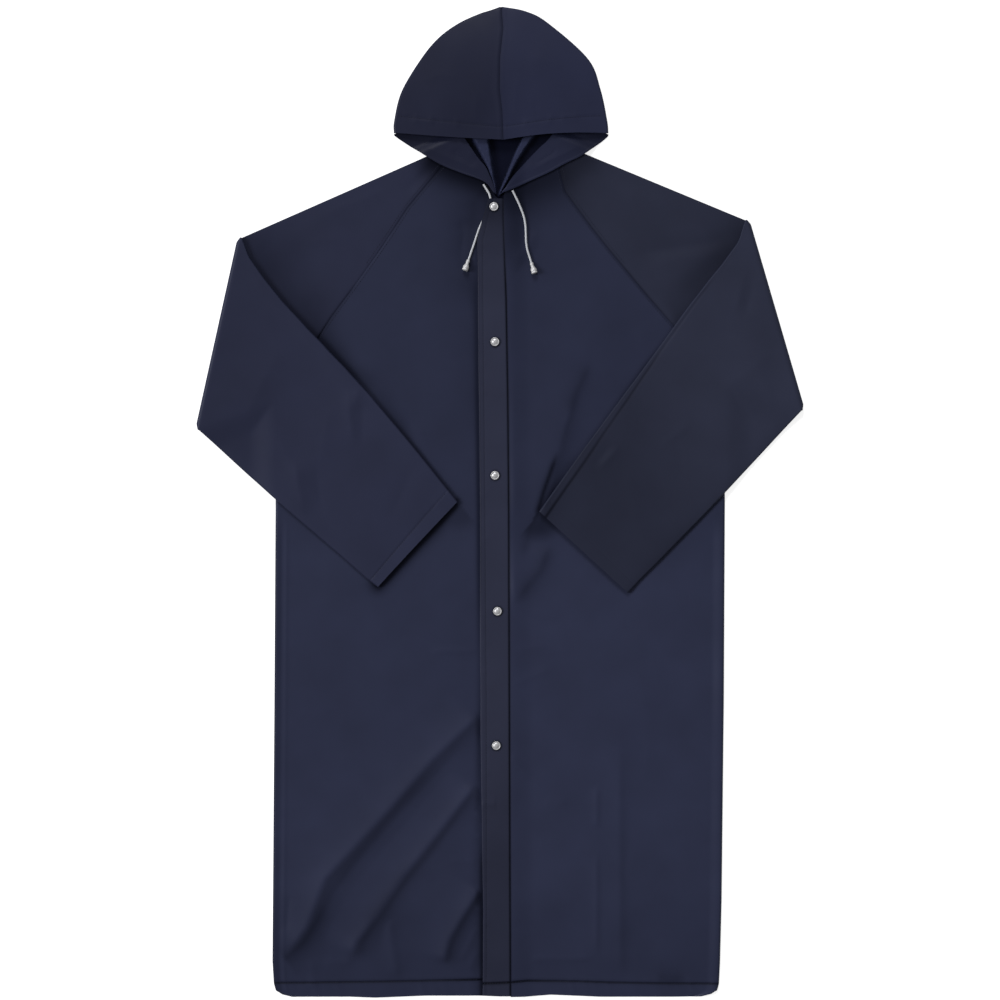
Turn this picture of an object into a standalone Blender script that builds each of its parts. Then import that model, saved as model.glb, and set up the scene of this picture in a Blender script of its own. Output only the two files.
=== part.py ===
"""Hooded raincoat, laid flat on its back with both sleeves folded forward over the fronts.

+Z is up and +Y runs from the hem to the hood. The wearer's left is +X. The tables give x and y in
millimetres, measured from the middle of the whole coat. Each cut-and-sewn piece is a closed cloth wall.
"""

import math

import bmesh
import bpy
import numpy as np
from mathutils import Vector

MM = 0.001  # the tables are in millimetres, Blender is in metres

# Cloth and layers, from the floor up.
CLOTH = 1.2  # thickness of a single layer
SEAM_GAP = 0.3  # air left between two pieces where they are sewn together
LAYER_GAP = 1.0  # air left between two pieces that only lie on each other
COAT_TOP = 5.2  # outer face of the fronts above the floor, away from any fold
TUBE_EDGE = 2.6  # radius of a sleeve's folded long edges
PLACKET_CLOTH = 2.4  # the placket is the front turned double
PLACKET_AIR = 0.5  # air between the placket and the front beneath it
PLACKET_RISE = PLACKET_AIR + PLACKET_CLOTH  # how far the placket stands above the front beneath it
RISE_RUN = 34.0  # width over which the left front climbs to the placket
RISE_SPREAD = 1.4  # its columns lie closer together there
FLAP_LIFT = 3.6  # extra height of the placket's top corner, which lies on the drawstring
FLAP_LIFT_FROM, FLAP_LIFT_TO = 345.0, 392.0  # y where that lift starts and where it is whole

# Hems: turned once, so the wall steps up by a little along them.
HEM_STEP = 0.8
HEM_LINE = -684.5
HEM_EDGE = -709.0
HEM_DROP = 1.7  # the fronts sink towards the back panel along the hem
HEM_DROP_RUN = 40.0
HEM_ROWS = [HEM_LINE - 0.4, HEM_LINE + 0.4]
CUFF_HEM = 12.0

# Side edges of the body: x at each y, for the wearer's right (-x) and left (+x).
BODY_SIDES = (
    # y, right x, left x
    (-709.0, -299.0, 290.0),
    (-705.5, -312.0, 303.0),
    (-698.0, -320.8, 310.6),
    (-684.5, -323.8, 313.4),
    (-656.0, -325.7, 315.0),
    (-570.0, -325.0, 317.2),
    (-283.0, -322.9, 320.4),
    (3.0, -321.2, 321.9),
    (140.0, -319.8, 321.0),
)
SIDE_CURL = 3.7  # radius with which the fronts turn down to the side seams
SIDE_FOOT = CLOTH + SEAM_GAP  # height at which the fronts meet the back panel

# Raglan seams from neck to armpit, for each side.
RAGLAN_RIGHT = (
    # x, y
    (-56.0, 516.0),
    (-83.0, 480.0),
    (-113.0, 444.0),
    (-133.0, 419.5),
    (-155.0, 385.5),
    (-178.0, 351.5),
    (-210.5, 306.0),
    (-241.0, 265.0),
    (-270.0, 221.0),
    (-315.0, 152.0),
)
RAGLAN_LEFT = (
    # x, y
    (76.0, 517.0),
    (84.0, 480.0),
    (93.0, 444.0),
    (109.0, 422.0),
    (132.0, 391.0),
    (155.0, 362.0),
    (210.5, 295.0),
    (248.0, 252.0),
    (276.0, 221.0),
    (315.0, 169.0),
)

# Front necklines, from the centre front to the top of the raglan seam.
NECK_RIGHT = (
    # y, x
    (431.0, 1.0),
    (438.0, -7.0),
    (455.0, -12.0),
    (478.0, -22.0),
    (493.0, -34.0),
    (505.0, -43.0),
    (516.0, -50.0),
)
NECK_LEFT = (
    # y, x
    (431.0, 4.6),
    (438.0, 5.5),
    (450.0, 10.5),
    (464.0, 19.0),
    (478.0, 31.0),
    (488.0, 41.0),
    (507.0, 58.5),
    (517.0, 69.0),
)
BACK_NECK = ((-54.0, 516.0), (-57.0, 529.8), (1.5, 539.0), (77.5, 530.3), (74.0, 517.0))

# Placket: x of its free edge and of the seam that joins it to the left front, at each y.
PLACKET = (
    # y, free edge, seam
    (-708.0, -25.8, 14.8),
    (-283.0, -26.5, 13.2),
    (3.0, -28.6, 12.3),
    (146.0, -30.0, 11.0),
    (289.0, -31.5, 8.6),
    (375.0, -31.5, 5.4),
    (404.0, -24.3, 4.6),
    (433.5, -15.8, 4.3),
)
UNDERLAP = 3.0  # the right front ends this far short of the placket's seam

# Largest folds of the fronts. Each is a ridge that falls gently to one side and steeply to the other.
FOLDS = (
    # height, gentle width, steep width, route of the crest
    (9.0, 44.0, 17.0, ((-28, -302), (-98, -367), (-155, -429), (-213, -493), (-252, -536), (-277, -607),
                       (-309, -653))),
    (7.0, 34.0, 15.0, ((-34, -402), (-89, -474), (-137, -534), (-175, -592), (-205, -628), (-215, -656))),
    (5.0, 24.0, 12.0, ((-30, -554), (-57, -598), (-73, -627), (-82, -662))),
    (2.8, 11.0, 9.0, ((-159, -586), (-154, -634), (-146, -684))),
    (3.6, 14.0, 26.0, ((128, 196), (108, 150), (94, 110), (76, 40), (56, -30), (40, -62))),
    (2.8, 12.0, 16.0, ((72, -58), (56, -96), (30, -128), (12, -150))),
    (2.6, 26.0, 34.0, ((84, -436), (131, -476), (171, -522), (229, -572))),
    (2.4, 24.0, 9.0, ((171, -312), (171, -480), (172, -640), (172, -690))),
)
FOLD_START, FOLD_END = 0.22, 0.14  # share of its length over which a fold rises and dies away
FOLD_CLEAR = 22.0  # the folds die away over this width beside the placket, which lies flat

# Rows of the fronts below the armpits, closer together where the folds are.
RIGHT_ROWS = list(np.linspace(-665.0, -270.0, 20)) + [-200.0, -120.0, -40.0, 50.0]
LEFT_ROWS = list(np.linspace(-665.0, -420.0, 8)) + list(np.linspace(-370.0, 100.0, 12))


class Side:
    """The measures of one side of the coat. sign is -1 on the wearer's right and +1 on the left."""

    def __init__(self, sign, column, raglan, neck, shoulder, elbow, cuff_high, cuff_low):
        self.sign = sign
        self.column = column
        self.raglan = raglan
        self.neck = neck
        self.shoulder = shoulder
        self.elbow = elbow
        self.cuff_high = cuff_high
        self.cuff_low = cuff_low


RIGHT = Side(
    -1, 1, RAGLAN_RIGHT, NECK_RIGHT,
    shoulder=(-376.0, 375.2), elbow=(-435.2, 107.0), cuff_high=(-61.6, 1.4), cuff_low=(-174.7, -118.4),
)
LEFT = Side(
    1, 2, RAGLAN_LEFT, NECK_LEFT,
    shoulder=(357.8, 400.4), elbow=(435.2, 135.2), cuff_high=(55.8, -12.9), cuff_low=(183.3, -131.0),
)

# Sleeve: rings from the armhole to the fold, round the fold, and on to the cuff.
BEND_AXIS = COAT_TOP + 0.5  # height of the line about which a sleeve is folded
TUBE_POINTS = len(RAGLAN_RIGHT)  # points across each face of a sleeve, one at each point of the raglan seam
ROOT_RINGS = 5
BEND_RINGS = 6
ARM_RINGS = 9
SLEEVE_PUFF = 1.2  # how far the folded sleeve's top swells along its middle
SAG = 0.75  # beside the body the folded sleeve sinks by this share of the coat's height
SAG_RUN = 40.0  # over this width
CORNER_RUN = 9.0  # the fold's two corners are rounded over this length
CORNER_CUT = 0.55  # share of the fold's reach that is missing right at a corner
EDGE_DIP = 8.0  # the right sleeve's upper edge dips by this much
EDGE_DIP_AT, EDGE_DIP_RUN = 0.19, 0.17  # about this share of the way to the cuff, and over this share

# Hood: outline from the crown to the corner of its rim, and the rim's free edge down to the centre front.
SEAM_X = 1.5  # the centre seam lies in this plane
CROWN_Y = 709.0
RIM_Y = 517.0
HOOD_OUTLINE = {
    -1: ((1.5, 709), (-14, 703.5), (-31, 698), (-60, 684.5), (-88, 664), (-113, 634), (-141, 587), (-151.5, 545),
         (-152, 528)),
    1: ((1.5, 709), (37, 702), (69, 685), (126, 634), (144, 590), (153.5, 545), (155, 528)),
}
LAPEL_RIM = {
    -1: ((-152, 528), (-148, 522), (-110, 497.5), (-84.5, 482.6), (-56, 471), (-23, 459), (-9, 443)),
    1: ((155, 528), (152, 521), (120, 497.5), (95, 485), (69, 471), (36, 456), (19, 448), (-1, 440)),
}
LAPEL_NECK = {
    -1: ((-58.5, 532), (-46, 513), (-32, 492.6), (-20, 478), (-10, 455), (-5, 440.5)),
    1: ((79.5, 532), (68, 517), (57, 507), (39, 488.3), (17.5, 464), (3.5, 441.5)),
}
RIM_BOW = {-1: -1.0, 1: 4.0}  # how far the rim's edge bows up between the centre seam and its corner
HOOD_EDGE = 3.5  # radius of the hood's folded outline
HOOD_DOME = 10.0  # how far the crown swells above the folded outline
BACK_SEAM_END = 540.4  # y where the hood's centre seam meets the back neckline
BACK_SHARE = 0.8  # share of the hood's rows that end on its centre seam
SHOULDER_RAMP = 16.0  # the hood climbs from the floor to the shoulder over this width
SHOULDER_CLEAR = 5.0  # and is up there this far outside the shoulder's edge
SEWN_DOWN = 0.4  # the hood lies this much closer to the fronts along the neck seam
HOOD_ROWS, LAPEL_ROWS = 13, 11
HOOD_TOP_POINTS, HOOD_EDGE_POINTS, HOOD_FLOOR_POINTS = 9, 4, 9

# Snaps down the placket.
SNAPS = (
    # x, y
    (-8.7, 421.8),
    (-7.2, 229.0),
    (-7.2, 38.0),
    (-3.6, -156.0),
    (-5.3, -348.0),
)
SNAP_RADIUS = 6.2
SNAP_HEIGHT = 2.6

# Drawstring: the route of each free end over the coat, and the bell-shaped ends.
CORD_RADIUS = 1.5
CORD_AIR = 0.45
CORD_ROUTES = {
    # x, y of each point, from the casing to the bell
    "cord_right": ((-23.8, 454), (-20.6, 449), (-17.8, 444.5), (-15.2, 439.5), (-13.6, 432), (-14.5, 423),
                   (-18.5, 413), (-24.8, 401.5), (-30.3, 389.5), (-34.8, 376), (-39.5, 362), (-45, 346)),
    "cord_left": ((17.8, 445), (21, 438.5), (25.5, 429.6), (30.5, 418), (34.4, 406.7), (36.4, 395),
                  (37, 383), (37.4, 372), (39, 361), (42, 351), (44.8, 342)),
}
BELL_LENGTH = 16.0
BELL_NECK, BELL_MOUTH = 2.5, 4.35  # radii
CORD_POINTS = 25


# ------------------------------------------------------------------ curves and heights


def smooth(value):
    """0 below 0, 1 above 1, and a soft S between."""
    t = np.clip(value, 0.0, 1.0)
    return t * t * (3.0 - 2.0 * t)


def column_at(table, y, column):
    """Reads a table that starts with y, at any y."""
    rows = np.array(table)
    return np.interp(y, rows[:, 0], rows[:, column])


def through(points, share, straight=False):
    """Point at a share of the length of a smooth curve through the points, or of the straight runs between."""
    points = np.array(points, dtype=float)
    if not straight:
        ends = np.vstack([2 * points[0] - points[1], points, 2 * points[-1] - points[-2]])
        fine = []
        for i in range(1, len(ends) - 2):
            p0, p1, p2, p3 = ends[i - 1 : i + 3]
            for t in np.linspace(0.0, 1.0, 12, endpoint=False):
                a = 2 * p1 + (p2 - p0) * t
                b = (2 * p0 - 5 * p1 + 4 * p2 - p3) * t**2
                c = (3 * p1 - p0 - 3 * p2 + p3) * t**3
                fine.append((a + b + c) / 2)
        points = np.vstack([fine, points[-1]])
    length = np.concatenate([[0.0], np.cumsum(np.linalg.norm(np.diff(points, axis=0), axis=1))])
    at = np.asarray(share) * length[-1]
    return np.stack([np.interp(at, length, points[:, k]) for k in range(points.shape[1])], axis=-1)


def fold_height(x, y):
    """Height that the large folds add to the fronts."""
    total = 0.0
    for height, gentle, steep, route in FOLDS:
        best, offset, along = 1e9, 0.0, 0.0
        route = np.array(route, dtype=float)
        lengths = np.linalg.norm(np.diff(route, axis=0), axis=1)
        run = 0.0
        for start, end, length in zip(route[:-1], route[1:], lengths):
            leg = end - start
            t = np.clip(((x - start[0]) * leg[0] + (y - start[1]) * leg[1]) / length**2, 0, 1)
            dx, dy = x - start[0] - t * leg[0], y - start[1] - t * leg[1]
            gap = math.hypot(dx, dy)
            if gap < best:
                best = gap
                offset = leg[0] * dy - leg[1] * dx
                along = (run + t * length) / lengths.sum()
            run += length
        width = steep if offset > 0 else gentle
        ends = smooth(along / FOLD_START) * smooth((1 - along) / FOLD_END)
        total = max(total, height * ends * math.exp(-((best / width) ** 2)))
    free, seam = column_at(PLACKET, y, 1), column_at(PLACKET, y, 2)
    return total * smooth(max(free - x, x - seam) / FOLD_CLEAR)


def under_top(x, y):
    """Outer face of the fronts, without the rise to the placket."""
    drop = HEM_DROP * smooth((HEM_LINE + HEM_DROP_RUN - y) / HEM_DROP_RUN)
    step = HEM_STEP if y < HEM_LINE else 0.0
    return COAT_TOP + fold_height(x, y) - drop + step


def flap_lift(y):
    return FLAP_LIFT * smooth((y - FLAP_LIFT_FROM) / (FLAP_LIFT_TO - FLAP_LIFT_FROM))


def placket_top(x, y):
    return under_top(x, y) + PLACKET_RISE + flap_lift(y)


def front_top(side, x, y):
    """Outer face of a front and of the sleeve's upper part beside it. The left front climbs to the placket."""
    if side.sign < 0:
        return under_top(x, y)
    seam = column_at(PLACKET, y, 2)
    return under_top(x, y) + (PLACKET_RISE + flap_lift(y)) * smooth((seam + RISE_RUN - x) / RISE_RUN)


def depth_inside(side, start, end, x, y):
    """Distance of a point below a line that runs outward from start to end."""
    run, fall = end[0] - start[0], end[1] - start[1]
    return side.sign * ((x - start[0]) * fall - (y - start[1]) * run) / math.hypot(run, fall)


def support(side, x, y):
    """What a folded sleeve lies on: the coat, and beside the body a sag towards the floor."""
    beside = abs(x) - abs(column_at(BODY_SIDES, y, side.column))
    below = depth_inside(side, side.raglan[-1], side.elbow, x, y)
    sag = smooth(min(beside, below) / SAG_RUN)
    return front_top(side, x, y) * (1.0 - SAG * sag)


# ------------------------------------------------------------------ meshes


def material(name, colour, roughness, metallic=0.0):
    """A Principled BSDF with the piece's colour, roughness and metallic value."""
    made = bpy.data.materials.new(name)
    made.use_nodes = True
    shader = made.node_tree.nodes["Principled BSDF"]
    shader.inputs["Base Color"].default_value = (*colour, 1.0)
    shader.inputs["Roughness"].default_value = roughness
    shader.inputs["Metallic"].default_value = metallic
    return made


def solid(name, points, faces, finish, smooth_angle=40.0):
    """One closed, outward-facing object from points in millimetres."""
    mesh = bpy.data.meshes.new(name)
    mesh.from_pydata([tuple(p * MM for p in point) for point in points], [], faces)
    work = bmesh.new()
    work.from_mesh(mesh)
    bmesh.ops.recalc_face_normals(work, faces=work.faces)
    work.to_mesh(mesh)
    work.free()
    mesh.shade_smooth()
    mesh.set_sharp_from_angle(angle=math.radians(smooth_angle))
    made = bpy.data.objects.new(name, mesh)
    mesh.materials.append(finish)
    bpy.context.scene.collection.objects.link(made)
    return made


def grid_faces(rows, columns, round_=False):
    """Quads of a grid whose points are numbered row by row. round_ joins the last column to the first."""
    faces = []
    for i in range(rows - 1):
        for j in range(columns if round_ else columns - 1):
            k = (j + 1) % columns
            faces.append((i * columns + j, i * columns + k, (i + 1) * columns + k, (i + 1) * columns + j))
    return faces


def closed_wall(name, outer, inner, faces, finish):
    """Wall between an outer and an inner face of the same layout, closed along every free edge."""
    count = len(outer)
    used = {}
    for face in faces:
        for a, b in zip(face, face[1:] + face[:1]):
            used[(a, b)] = True
    rim = [(a, b) for a, b in used if (b, a) not in used]
    walls = [(b, a, a + count, b + count) for a, b in rim]
    back = [tuple(k + count for k in reversed(face)) for face in faces]
    return solid(name, np.vstack([outer, inner]), list(faces) + back + walls, finish)


def point_normals(points, faces):
    """Unit normal at each point, averaged over its quads."""
    normals = np.zeros_like(points)
    quads = np.array(faces)
    across = points[quads[:, 2]] - points[quads[:, 0]]
    along = points[quads[:, 3]] - points[quads[:, 1]]
    for corner in range(4):
        np.add.at(normals, quads[:, corner], np.cross(across, along))
    return normals / np.linalg.norm(normals, axis=1)[:, None]


# ------------------------------------------------------------------ body


def side_x(side, y):
    """The body's edge at y: the side below the armpit and the raglan seam above it."""
    raglan = np.array(side.raglan)[::-1]
    if y <= BODY_SIDES[-1][0]:
        return column_at(BODY_SIDES, y, side.column)
    if y <= raglan[0][1]:
        low = column_at(BODY_SIDES, BODY_SIDES[-1][0], side.column)
        return np.interp(y, (BODY_SIDES[-1][0], raglan[0][1]), (low, raglan[0][0]))
    return np.interp(y, raglan[:, 1], raglan[:, 0])


def front_rows(side, low_rows):
    """The y of each row of a front: even steps up to the armpit and the raglan's own points above it."""
    body = [row[0] for row in BODY_SIDES[:3]] + HEM_ROWS + list(low_rows) + [BODY_SIDES[-1][0]]
    raglan = [y for _, y in side.raglan[::-1]]
    neck = [y for y, _ in side.neck]
    return sorted(set(body + raglan + neck))


def front(name, side, low_rows, columns, finish):
    """One front: flat rows from the centre to its side, curled down to the side seam."""
    armpit = side.raglan[-1][1]
    rows = []
    for y in front_rows(side, low_rows):
        edge = side_x(side, y)
        seam = column_at(PLACKET, y, 2)
        centre = seam - UNDERLAP if side.sign < 0 else seam + SEAM_GAP
        if y > side.neck[0][0]:
            centre = column_at(side.neck, y, 1)
        curl = 1.0 if y < armpit - 1.0 else 0.0
        radius = SIDE_CURL * curl
        flat_end = edge - side.sign * radius
        spread = np.linspace(0.0, 1.0, columns) ** (1.0 if side.sign < 0 else RISE_SPREAD)
        row = [(x, y, front_top(side, x, y)) for x in centre + (flat_end - centre) * spread]
        top = front_top(side, flat_end, y)
        for turn in (30.0, 60.0, 90.0):
            a = math.radians(turn)
            x = flat_end + side.sign * (radius * math.sin(a) + (1 - curl) * 0.2 * turn / 90.0)
            row.append((x, y, top - (top - SIDE_FOOT) * curl * (1 - math.cos(a))))
        rows.append(row)
    outer = np.array(rows).reshape(-1, 3)
    faces = grid_faces(len(rows), columns + 3)
    normals = point_normals(outer, faces)
    normals *= np.sign(normals[columns // 2, 2])
    inner = outer - CLOTH * normals
    # The foot of the side and the raglan edge stay square to the seam they meet.
    inner = inner.reshape(len(rows), columns + 3, 3)
    outer_rows = outer.reshape(len(rows), columns + 3, 3)
    inner[:, -1, 2] = np.where(outer_rows[:, -1, 2] < COAT_TOP - CLOTH, outer_rows[:, -1, 2], inner[:, -1, 2])
    inner[:, 0, 0] = outer_rows[:, 0, 0]
    inner[:, :, 1] = outer_rows[:, :, 1]
    return closed_wall(name, outer, inner.reshape(-1, 3), faces, finish)


def back_panel(finish):
    """The back lies flat on the floor: its outline, one cloth thick."""
    right = [(x + SEAM_GAP, y) for x, y in RAGLAN_RIGHT[::-1]]
    left = [(x - SEAM_GAP, y) for x, y in RAGLAN_LEFT]
    sides_right = [(row[1], row[0]) for row in BODY_SIDES]
    sides_left = [(row[2], row[0]) for row in BODY_SIDES[::-1]]
    outline = sides_right + right[:-1] + list(BACK_NECK) + left[1:] + sides_left
    count = len(outline)
    points = [(x, y, z) for z in (0.0, CLOTH) for x, y in outline]
    faces = [tuple(range(count)), tuple(reversed(range(count, 2 * count)))]
    for i in range(count):
        k = (i + 1) % count
        faces.append((i, i + count, k + count, k))
    return solid("back_panel", points, faces, finish)


def placket(finish):
    """The double strip down the front, from its free edge to the seam."""
    ys = [row[0] for row in PLACKET + BODY_SIDES[1:3]] + HEM_ROWS + RIGHT_ROWS + [345.0, 360.0, 390.0, 420.0]
    rows = []
    for y in sorted(set(ys)):
        free, seam = column_at(PLACKET, y, 1), column_at(PLACKET, y, 2)
        rows.append([(x, y, placket_top(x, y)) for x in np.linspace(free, seam, 4)])
    outer = np.array(rows).reshape(-1, 3)
    inner = outer - (0.0, 0.0, PLACKET_CLOTH)
    return closed_wall("placket", outer, inner, grid_faces(len(rows), 4), finish)


# ------------------------------------------------------------------ sleeves


def tube_section(width, inset):
    """Share of the width and of the height for each point round a flattened tube, inset for its inner face."""
    edge = TUBE_EDGE / width
    run = np.clip(np.linspace(0.0, 1.0, TUBE_POINTS), edge, 1.0 - edge)
    narrow = inset / width
    shares, heights = [], []
    for share in run:
        shares.append(share)
        heights.append(1.0)
    for turn in (45.0, 0.0, -45.0):
        shares.append(1.0 - edge + (edge - narrow) * math.cos(math.radians(turn)))
        heights.append(0.5 + 0.5 * math.sin(math.radians(turn)))
    for share in run[::-1]:
        shares.append(share)
        heights.append(0.0)
    for turn in (-45.0, 0.0, 45.0):
        shares.append(edge - (edge - narrow) * math.cos(math.radians(turn)))
        heights.append(0.5 + 0.5 * math.sin(math.radians(turn)))
    return np.array(shares), np.array(heights)


def edge_dip(side, share, step):
    """How far the right sleeve's upper edge is drawn in towards its lower one."""
    if side.sign > 0:
        return np.zeros(2)
    across = np.array(side.elbow, float) - np.array(side.shoulder, float)
    across /= np.linalg.norm(across)
    hollow = math.exp(-(((step - EDGE_DIP_AT) / EDGE_DIP_RUN) ** 2)) * smooth(step / EDGE_DIP_AT)
    return across * EDGE_DIP * (1.0 - share) ** 3 * hollow


def sleeve(name, side, finish):
    """One tube of cloth: out from the armhole, folded over, and back across the front to the cuff."""
    raglan = np.array(side.raglan) + (side.sign * SEAM_GAP * 1.6, 0.0)
    breaks = np.concatenate([[0.0], np.cumsum(np.linalg.norm(np.diff(raglan, axis=0), axis=1))])
    shoulder, elbow = np.array(side.shoulder, float), np.array(side.elbow, float)
    along = (elbow - shoulder) / np.linalg.norm(elbow - shoulder)
    outward = np.array((-along[1], along[0])) * side.sign
    outward *= np.sign(outward[0]) * side.sign
    high, low = np.array(side.cuff_high, float), np.array(side.cuff_low, float)
    # The axis of the fold lies inside the fold line, and ends on the sleeve's own two edges.
    up, down = raglan[0] - shoulder, low - elbow
    shoulder = shoulder - up * BEND_AXIS / np.dot(up, outward)
    elbow = elbow - down * BEND_AXIS / np.dot(down, outward)
    faces_of = {}
    for inset in (0.0, CLOTH):
        rings = []
        # From the armhole to the fold line.
        for step in np.linspace(0.0, 1.0, ROOT_RINGS):
            shares, heights = tube_section(breaks[-1], inset)
            ring = []
            for share, height in zip(shares, heights):
                seam_share = np.interp(share, np.linspace(0, 1, TUBE_POINTS), breaks / breaks[-1])
                start = through(raglan, seam_share, straight=True)
                end = shoulder + (elbow - shoulder) * share
                x, y = start + (end - start) * step
                top, floor = front_top(side, x, y) - inset, inset
                ring.append((x, y, floor + (top - floor) * height))
            rings.append(ring)
        # Round the fold.
        base = rings[-1]
        for step in range(1, BEND_RINGS + 1):
            angle = math.pi * step / BEND_RINGS
            ring = []
            for x, y, z in base:
                beside = min(math.dist((x, y), shoulder), math.dist((x, y), elbow))
                reach = (BEND_AXIS - z) * (1.0 - CORNER_CUT * (1.0 - smooth(beside / CORNER_RUN)))
                bx, by = np.array((x, y)) + outward * reach * math.sin(angle)
                ring.append((bx, by, BEND_AXIS - (BEND_AXIS - z) * math.cos(angle)))
            rings.append(ring)
        # Across the front to the cuff, with a step at the cuff's hem.
        length = np.linalg.norm(high - shoulder)
        hem = 1.0 - CUFF_HEM / length
        steps = list(np.linspace(0.0, hem, ARM_RINGS)[1:]) + [hem + 0.8 / length, 1.0]
        for step in steps:
            start_width = np.linalg.norm(elbow - shoulder)
            width = start_width + (np.linalg.norm(low - high) - start_width) * step
            shares, heights = tube_section(width, inset)
            ring = []
            for share, height in zip(shares, heights):
                start = shoulder + (elbow - shoulder) * share
                end = high + (low - high) * share
                x, y = start + (end - start) * step + edge_dip(side, share, step)
                floor = support(side, x, y) + LAYER_GAP
                puff = SLEEVE_PUFF * math.sin(math.pi * share) * math.sin(math.pi * min(step, hem))
                top = floor + COAT_TOP + puff + (HEM_STEP if step > hem else 0.0)
                floor, top = floor + inset, top - inset
                # The tube came over the fold, so what was its lower face is now on top.
                ring.append((x, y, top + (floor - top) * height))
            rings.append(ring)
        faces_of[inset] = np.array(rings)
    outer, inner = faces_of[0.0], faces_of[CLOTH]
    count = outer.shape[1]
    faces = grid_faces(len(outer), count, round_=True)
    return closed_wall(name, outer.reshape(-1, 3), inner.reshape(-1, 3), faces, finish)


# ------------------------------------------------------------------ hood


def lapel_floor(side, x, y):
    """Underside of the hood's lower front: from the floor up over the shoulder onto the coat."""
    depth = depth_inside(side, side.raglan[0], side.shoulder, x, y)
    climb = smooth((depth + SHOULDER_CLEAR + SHOULDER_RAMP) / SHOULDER_RAMP)
    return climb * (front_top(side, x, y) + LAYER_GAP)


def hood_row(side, v):
    """Points of one row, from the centre seam over the top, round the folded outline and back beneath."""
    sign = side.sign
    seam_x = SEAM_X + sign * SEAM_GAP / 2
    fold = through(HOOD_OUTLINE[sign], v)
    top_start = np.array((seam_x, CROWN_Y - HOOD_EDGE + (RIM_Y - CROWN_Y + HOOD_EDGE) * v))
    neck_from = np.array((seam_x, BACK_SEAM_END))
    if v <= BACK_SHARE:
        share = v / BACK_SHARE
        floor_end = np.array((seam_x, CROWN_Y - HOOD_EDGE + (BACK_SEAM_END - CROWN_Y + HOOD_EDGE) * share))
    else:
        share = (v - BACK_SHARE) / (1 - BACK_SHARE)
        floor_end = neck_from + (np.array(LAPEL_NECK[sign][0]) - neck_from) * share
    rise = math.sin(min(1.0, v / 0.6) * math.pi / 2) * (1.0 - 0.2 * smooth((v - 0.6) / 0.4))
    points = []
    if v == 0.0:
        count = HOOD_TOP_POINTS + HOOD_EDGE_POINTS + HOOD_FLOOR_POINTS
        for turn in np.linspace(90.0, -90.0, count):
            a = math.radians(turn)
            y = CROWN_Y - HOOD_EDGE + HOOD_EDGE * math.cos(a)
            points.append((seam_x, y, HOOD_EDGE + HOOD_EDGE * math.sin(a)))
        return points
    inward = (top_start - fold) / np.linalg.norm(top_start - fold)
    edge_start = fold + inward * min(HOOD_EDGE, 0.5 * np.linalg.norm(top_start - fold))
    for share in np.linspace(0.0, 1.0, HOOD_TOP_POINTS):
        x, y = top_start + (edge_start - top_start) * share
        y += RIM_BOW[sign] * v**4 * math.sin(math.pi * share)
        swell = HOOD_DOME * rise * math.sin((1.0 - share) * math.pi / 2)
        points.append((x, y, 2 * HOOD_EDGE + swell))
    for i in range(HOOD_EDGE_POINTS):
        a = math.radians(90.0 - 180.0 * (i + 1) / (HOOD_EDGE_POINTS + 1))
        x, y = edge_start + (fold - edge_start) * math.cos(a)
        points.append((x, y, HOOD_EDGE + HOOD_EDGE * math.sin(a)))
    for share in np.linspace(0.0, 1.0, HOOD_FLOOR_POINTS):
        x, y = edge_start + (floor_end - edge_start) * share
        points.append((x, y, 0.0))
    return points


def lapel_row(side, v):
    """Points of one row of the hood's lower front, from its free rim to the neck seam."""
    rim = through(LAPEL_RIM[side.sign], v)
    neck = through(LAPEL_NECK[side.sign], v)
    points = []
    for share in np.linspace(0.0, 1.0, HOOD_FLOOR_POINTS):
        x, y = rim + (neck - rim) * share
        sewn = SEWN_DOWN * smooth((share - 0.7) / 0.3) * smooth(v / 0.3)
        points.append((x, y, lapel_floor(side, x, y) - sewn))
    return points


def hood_half(name, side, finish):
    """One half of the hood, with the lapel that runs down to the centre front, as one wall."""
    rows = [hood_row(side, v) for v in np.linspace(0.0, 1.0, HOOD_ROWS + 1)]
    columns = len(rows[0])
    outer = np.array(rows).reshape(-1, 3)
    faces = grid_faces(len(rows), columns)
    lapel = np.array([lapel_row(side, v) for v in np.linspace(0.0, 1.0, LAPEL_ROWS + 1)[1:]])
    first = len(outer)
    before = [HOOD_ROWS * columns + columns - HOOD_FLOOR_POINTS + j for j in range(HOOD_FLOOR_POINTS)]
    for i in range(LAPEL_ROWS):
        current = [first + i * HOOD_FLOOR_POINTS + j for j in range(HOOD_FLOOR_POINTS)]
        for j in range(HOOD_FLOOR_POINTS - 1):
            faces.append((before[j], before[j + 1], current[j + 1], current[j]))
        before = current
    outer = np.vstack([outer, lapel.reshape(-1, 3)])
    normals = point_normals(outer, faces)
    normals *= np.sign(normals[5 * columns + 2, 2])
    on_seam = np.abs(outer[:, 0] - SEAM_X) < SEAM_GAP
    normals[on_seam, 0] = 0.0
    normals /= np.linalg.norm(normals, axis=1)[:, None]
    return closed_wall(name, outer, outer - CLOTH * normals, faces, finish)


# ------------------------------------------------------------------ snaps and drawstring


def turned(name, profile, finish, sides=14):
    """A solid of revolution about Z. The profile runs from the axis at the bottom to the axis at the top."""
    points, faces = [(0.0, 0.0, profile[0][1])], []
    rings = profile[1:-1]
    for radius, z in rings:
        for i in range(sides):
            a = 2 * math.pi * i / sides
            points.append((radius * math.cos(a), radius * math.sin(a), z))
    points.append((0.0, 0.0, profile[-1][1]))
    for i in range(sides):
        k = (i + 1) % sides
        faces.append((0, 1 + k, 1 + i))
        last = 1 + (len(rings) - 1) * sides
        faces.append((len(points) - 1, last + i, last + k))
        for ring in range(len(rings) - 1):
            low = 1 + ring * sides
            faces.append((low + i, low + k, low + sides + k, low + sides + i))
    return solid(name, points, faces, finish, smooth_angle=50.0)


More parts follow.
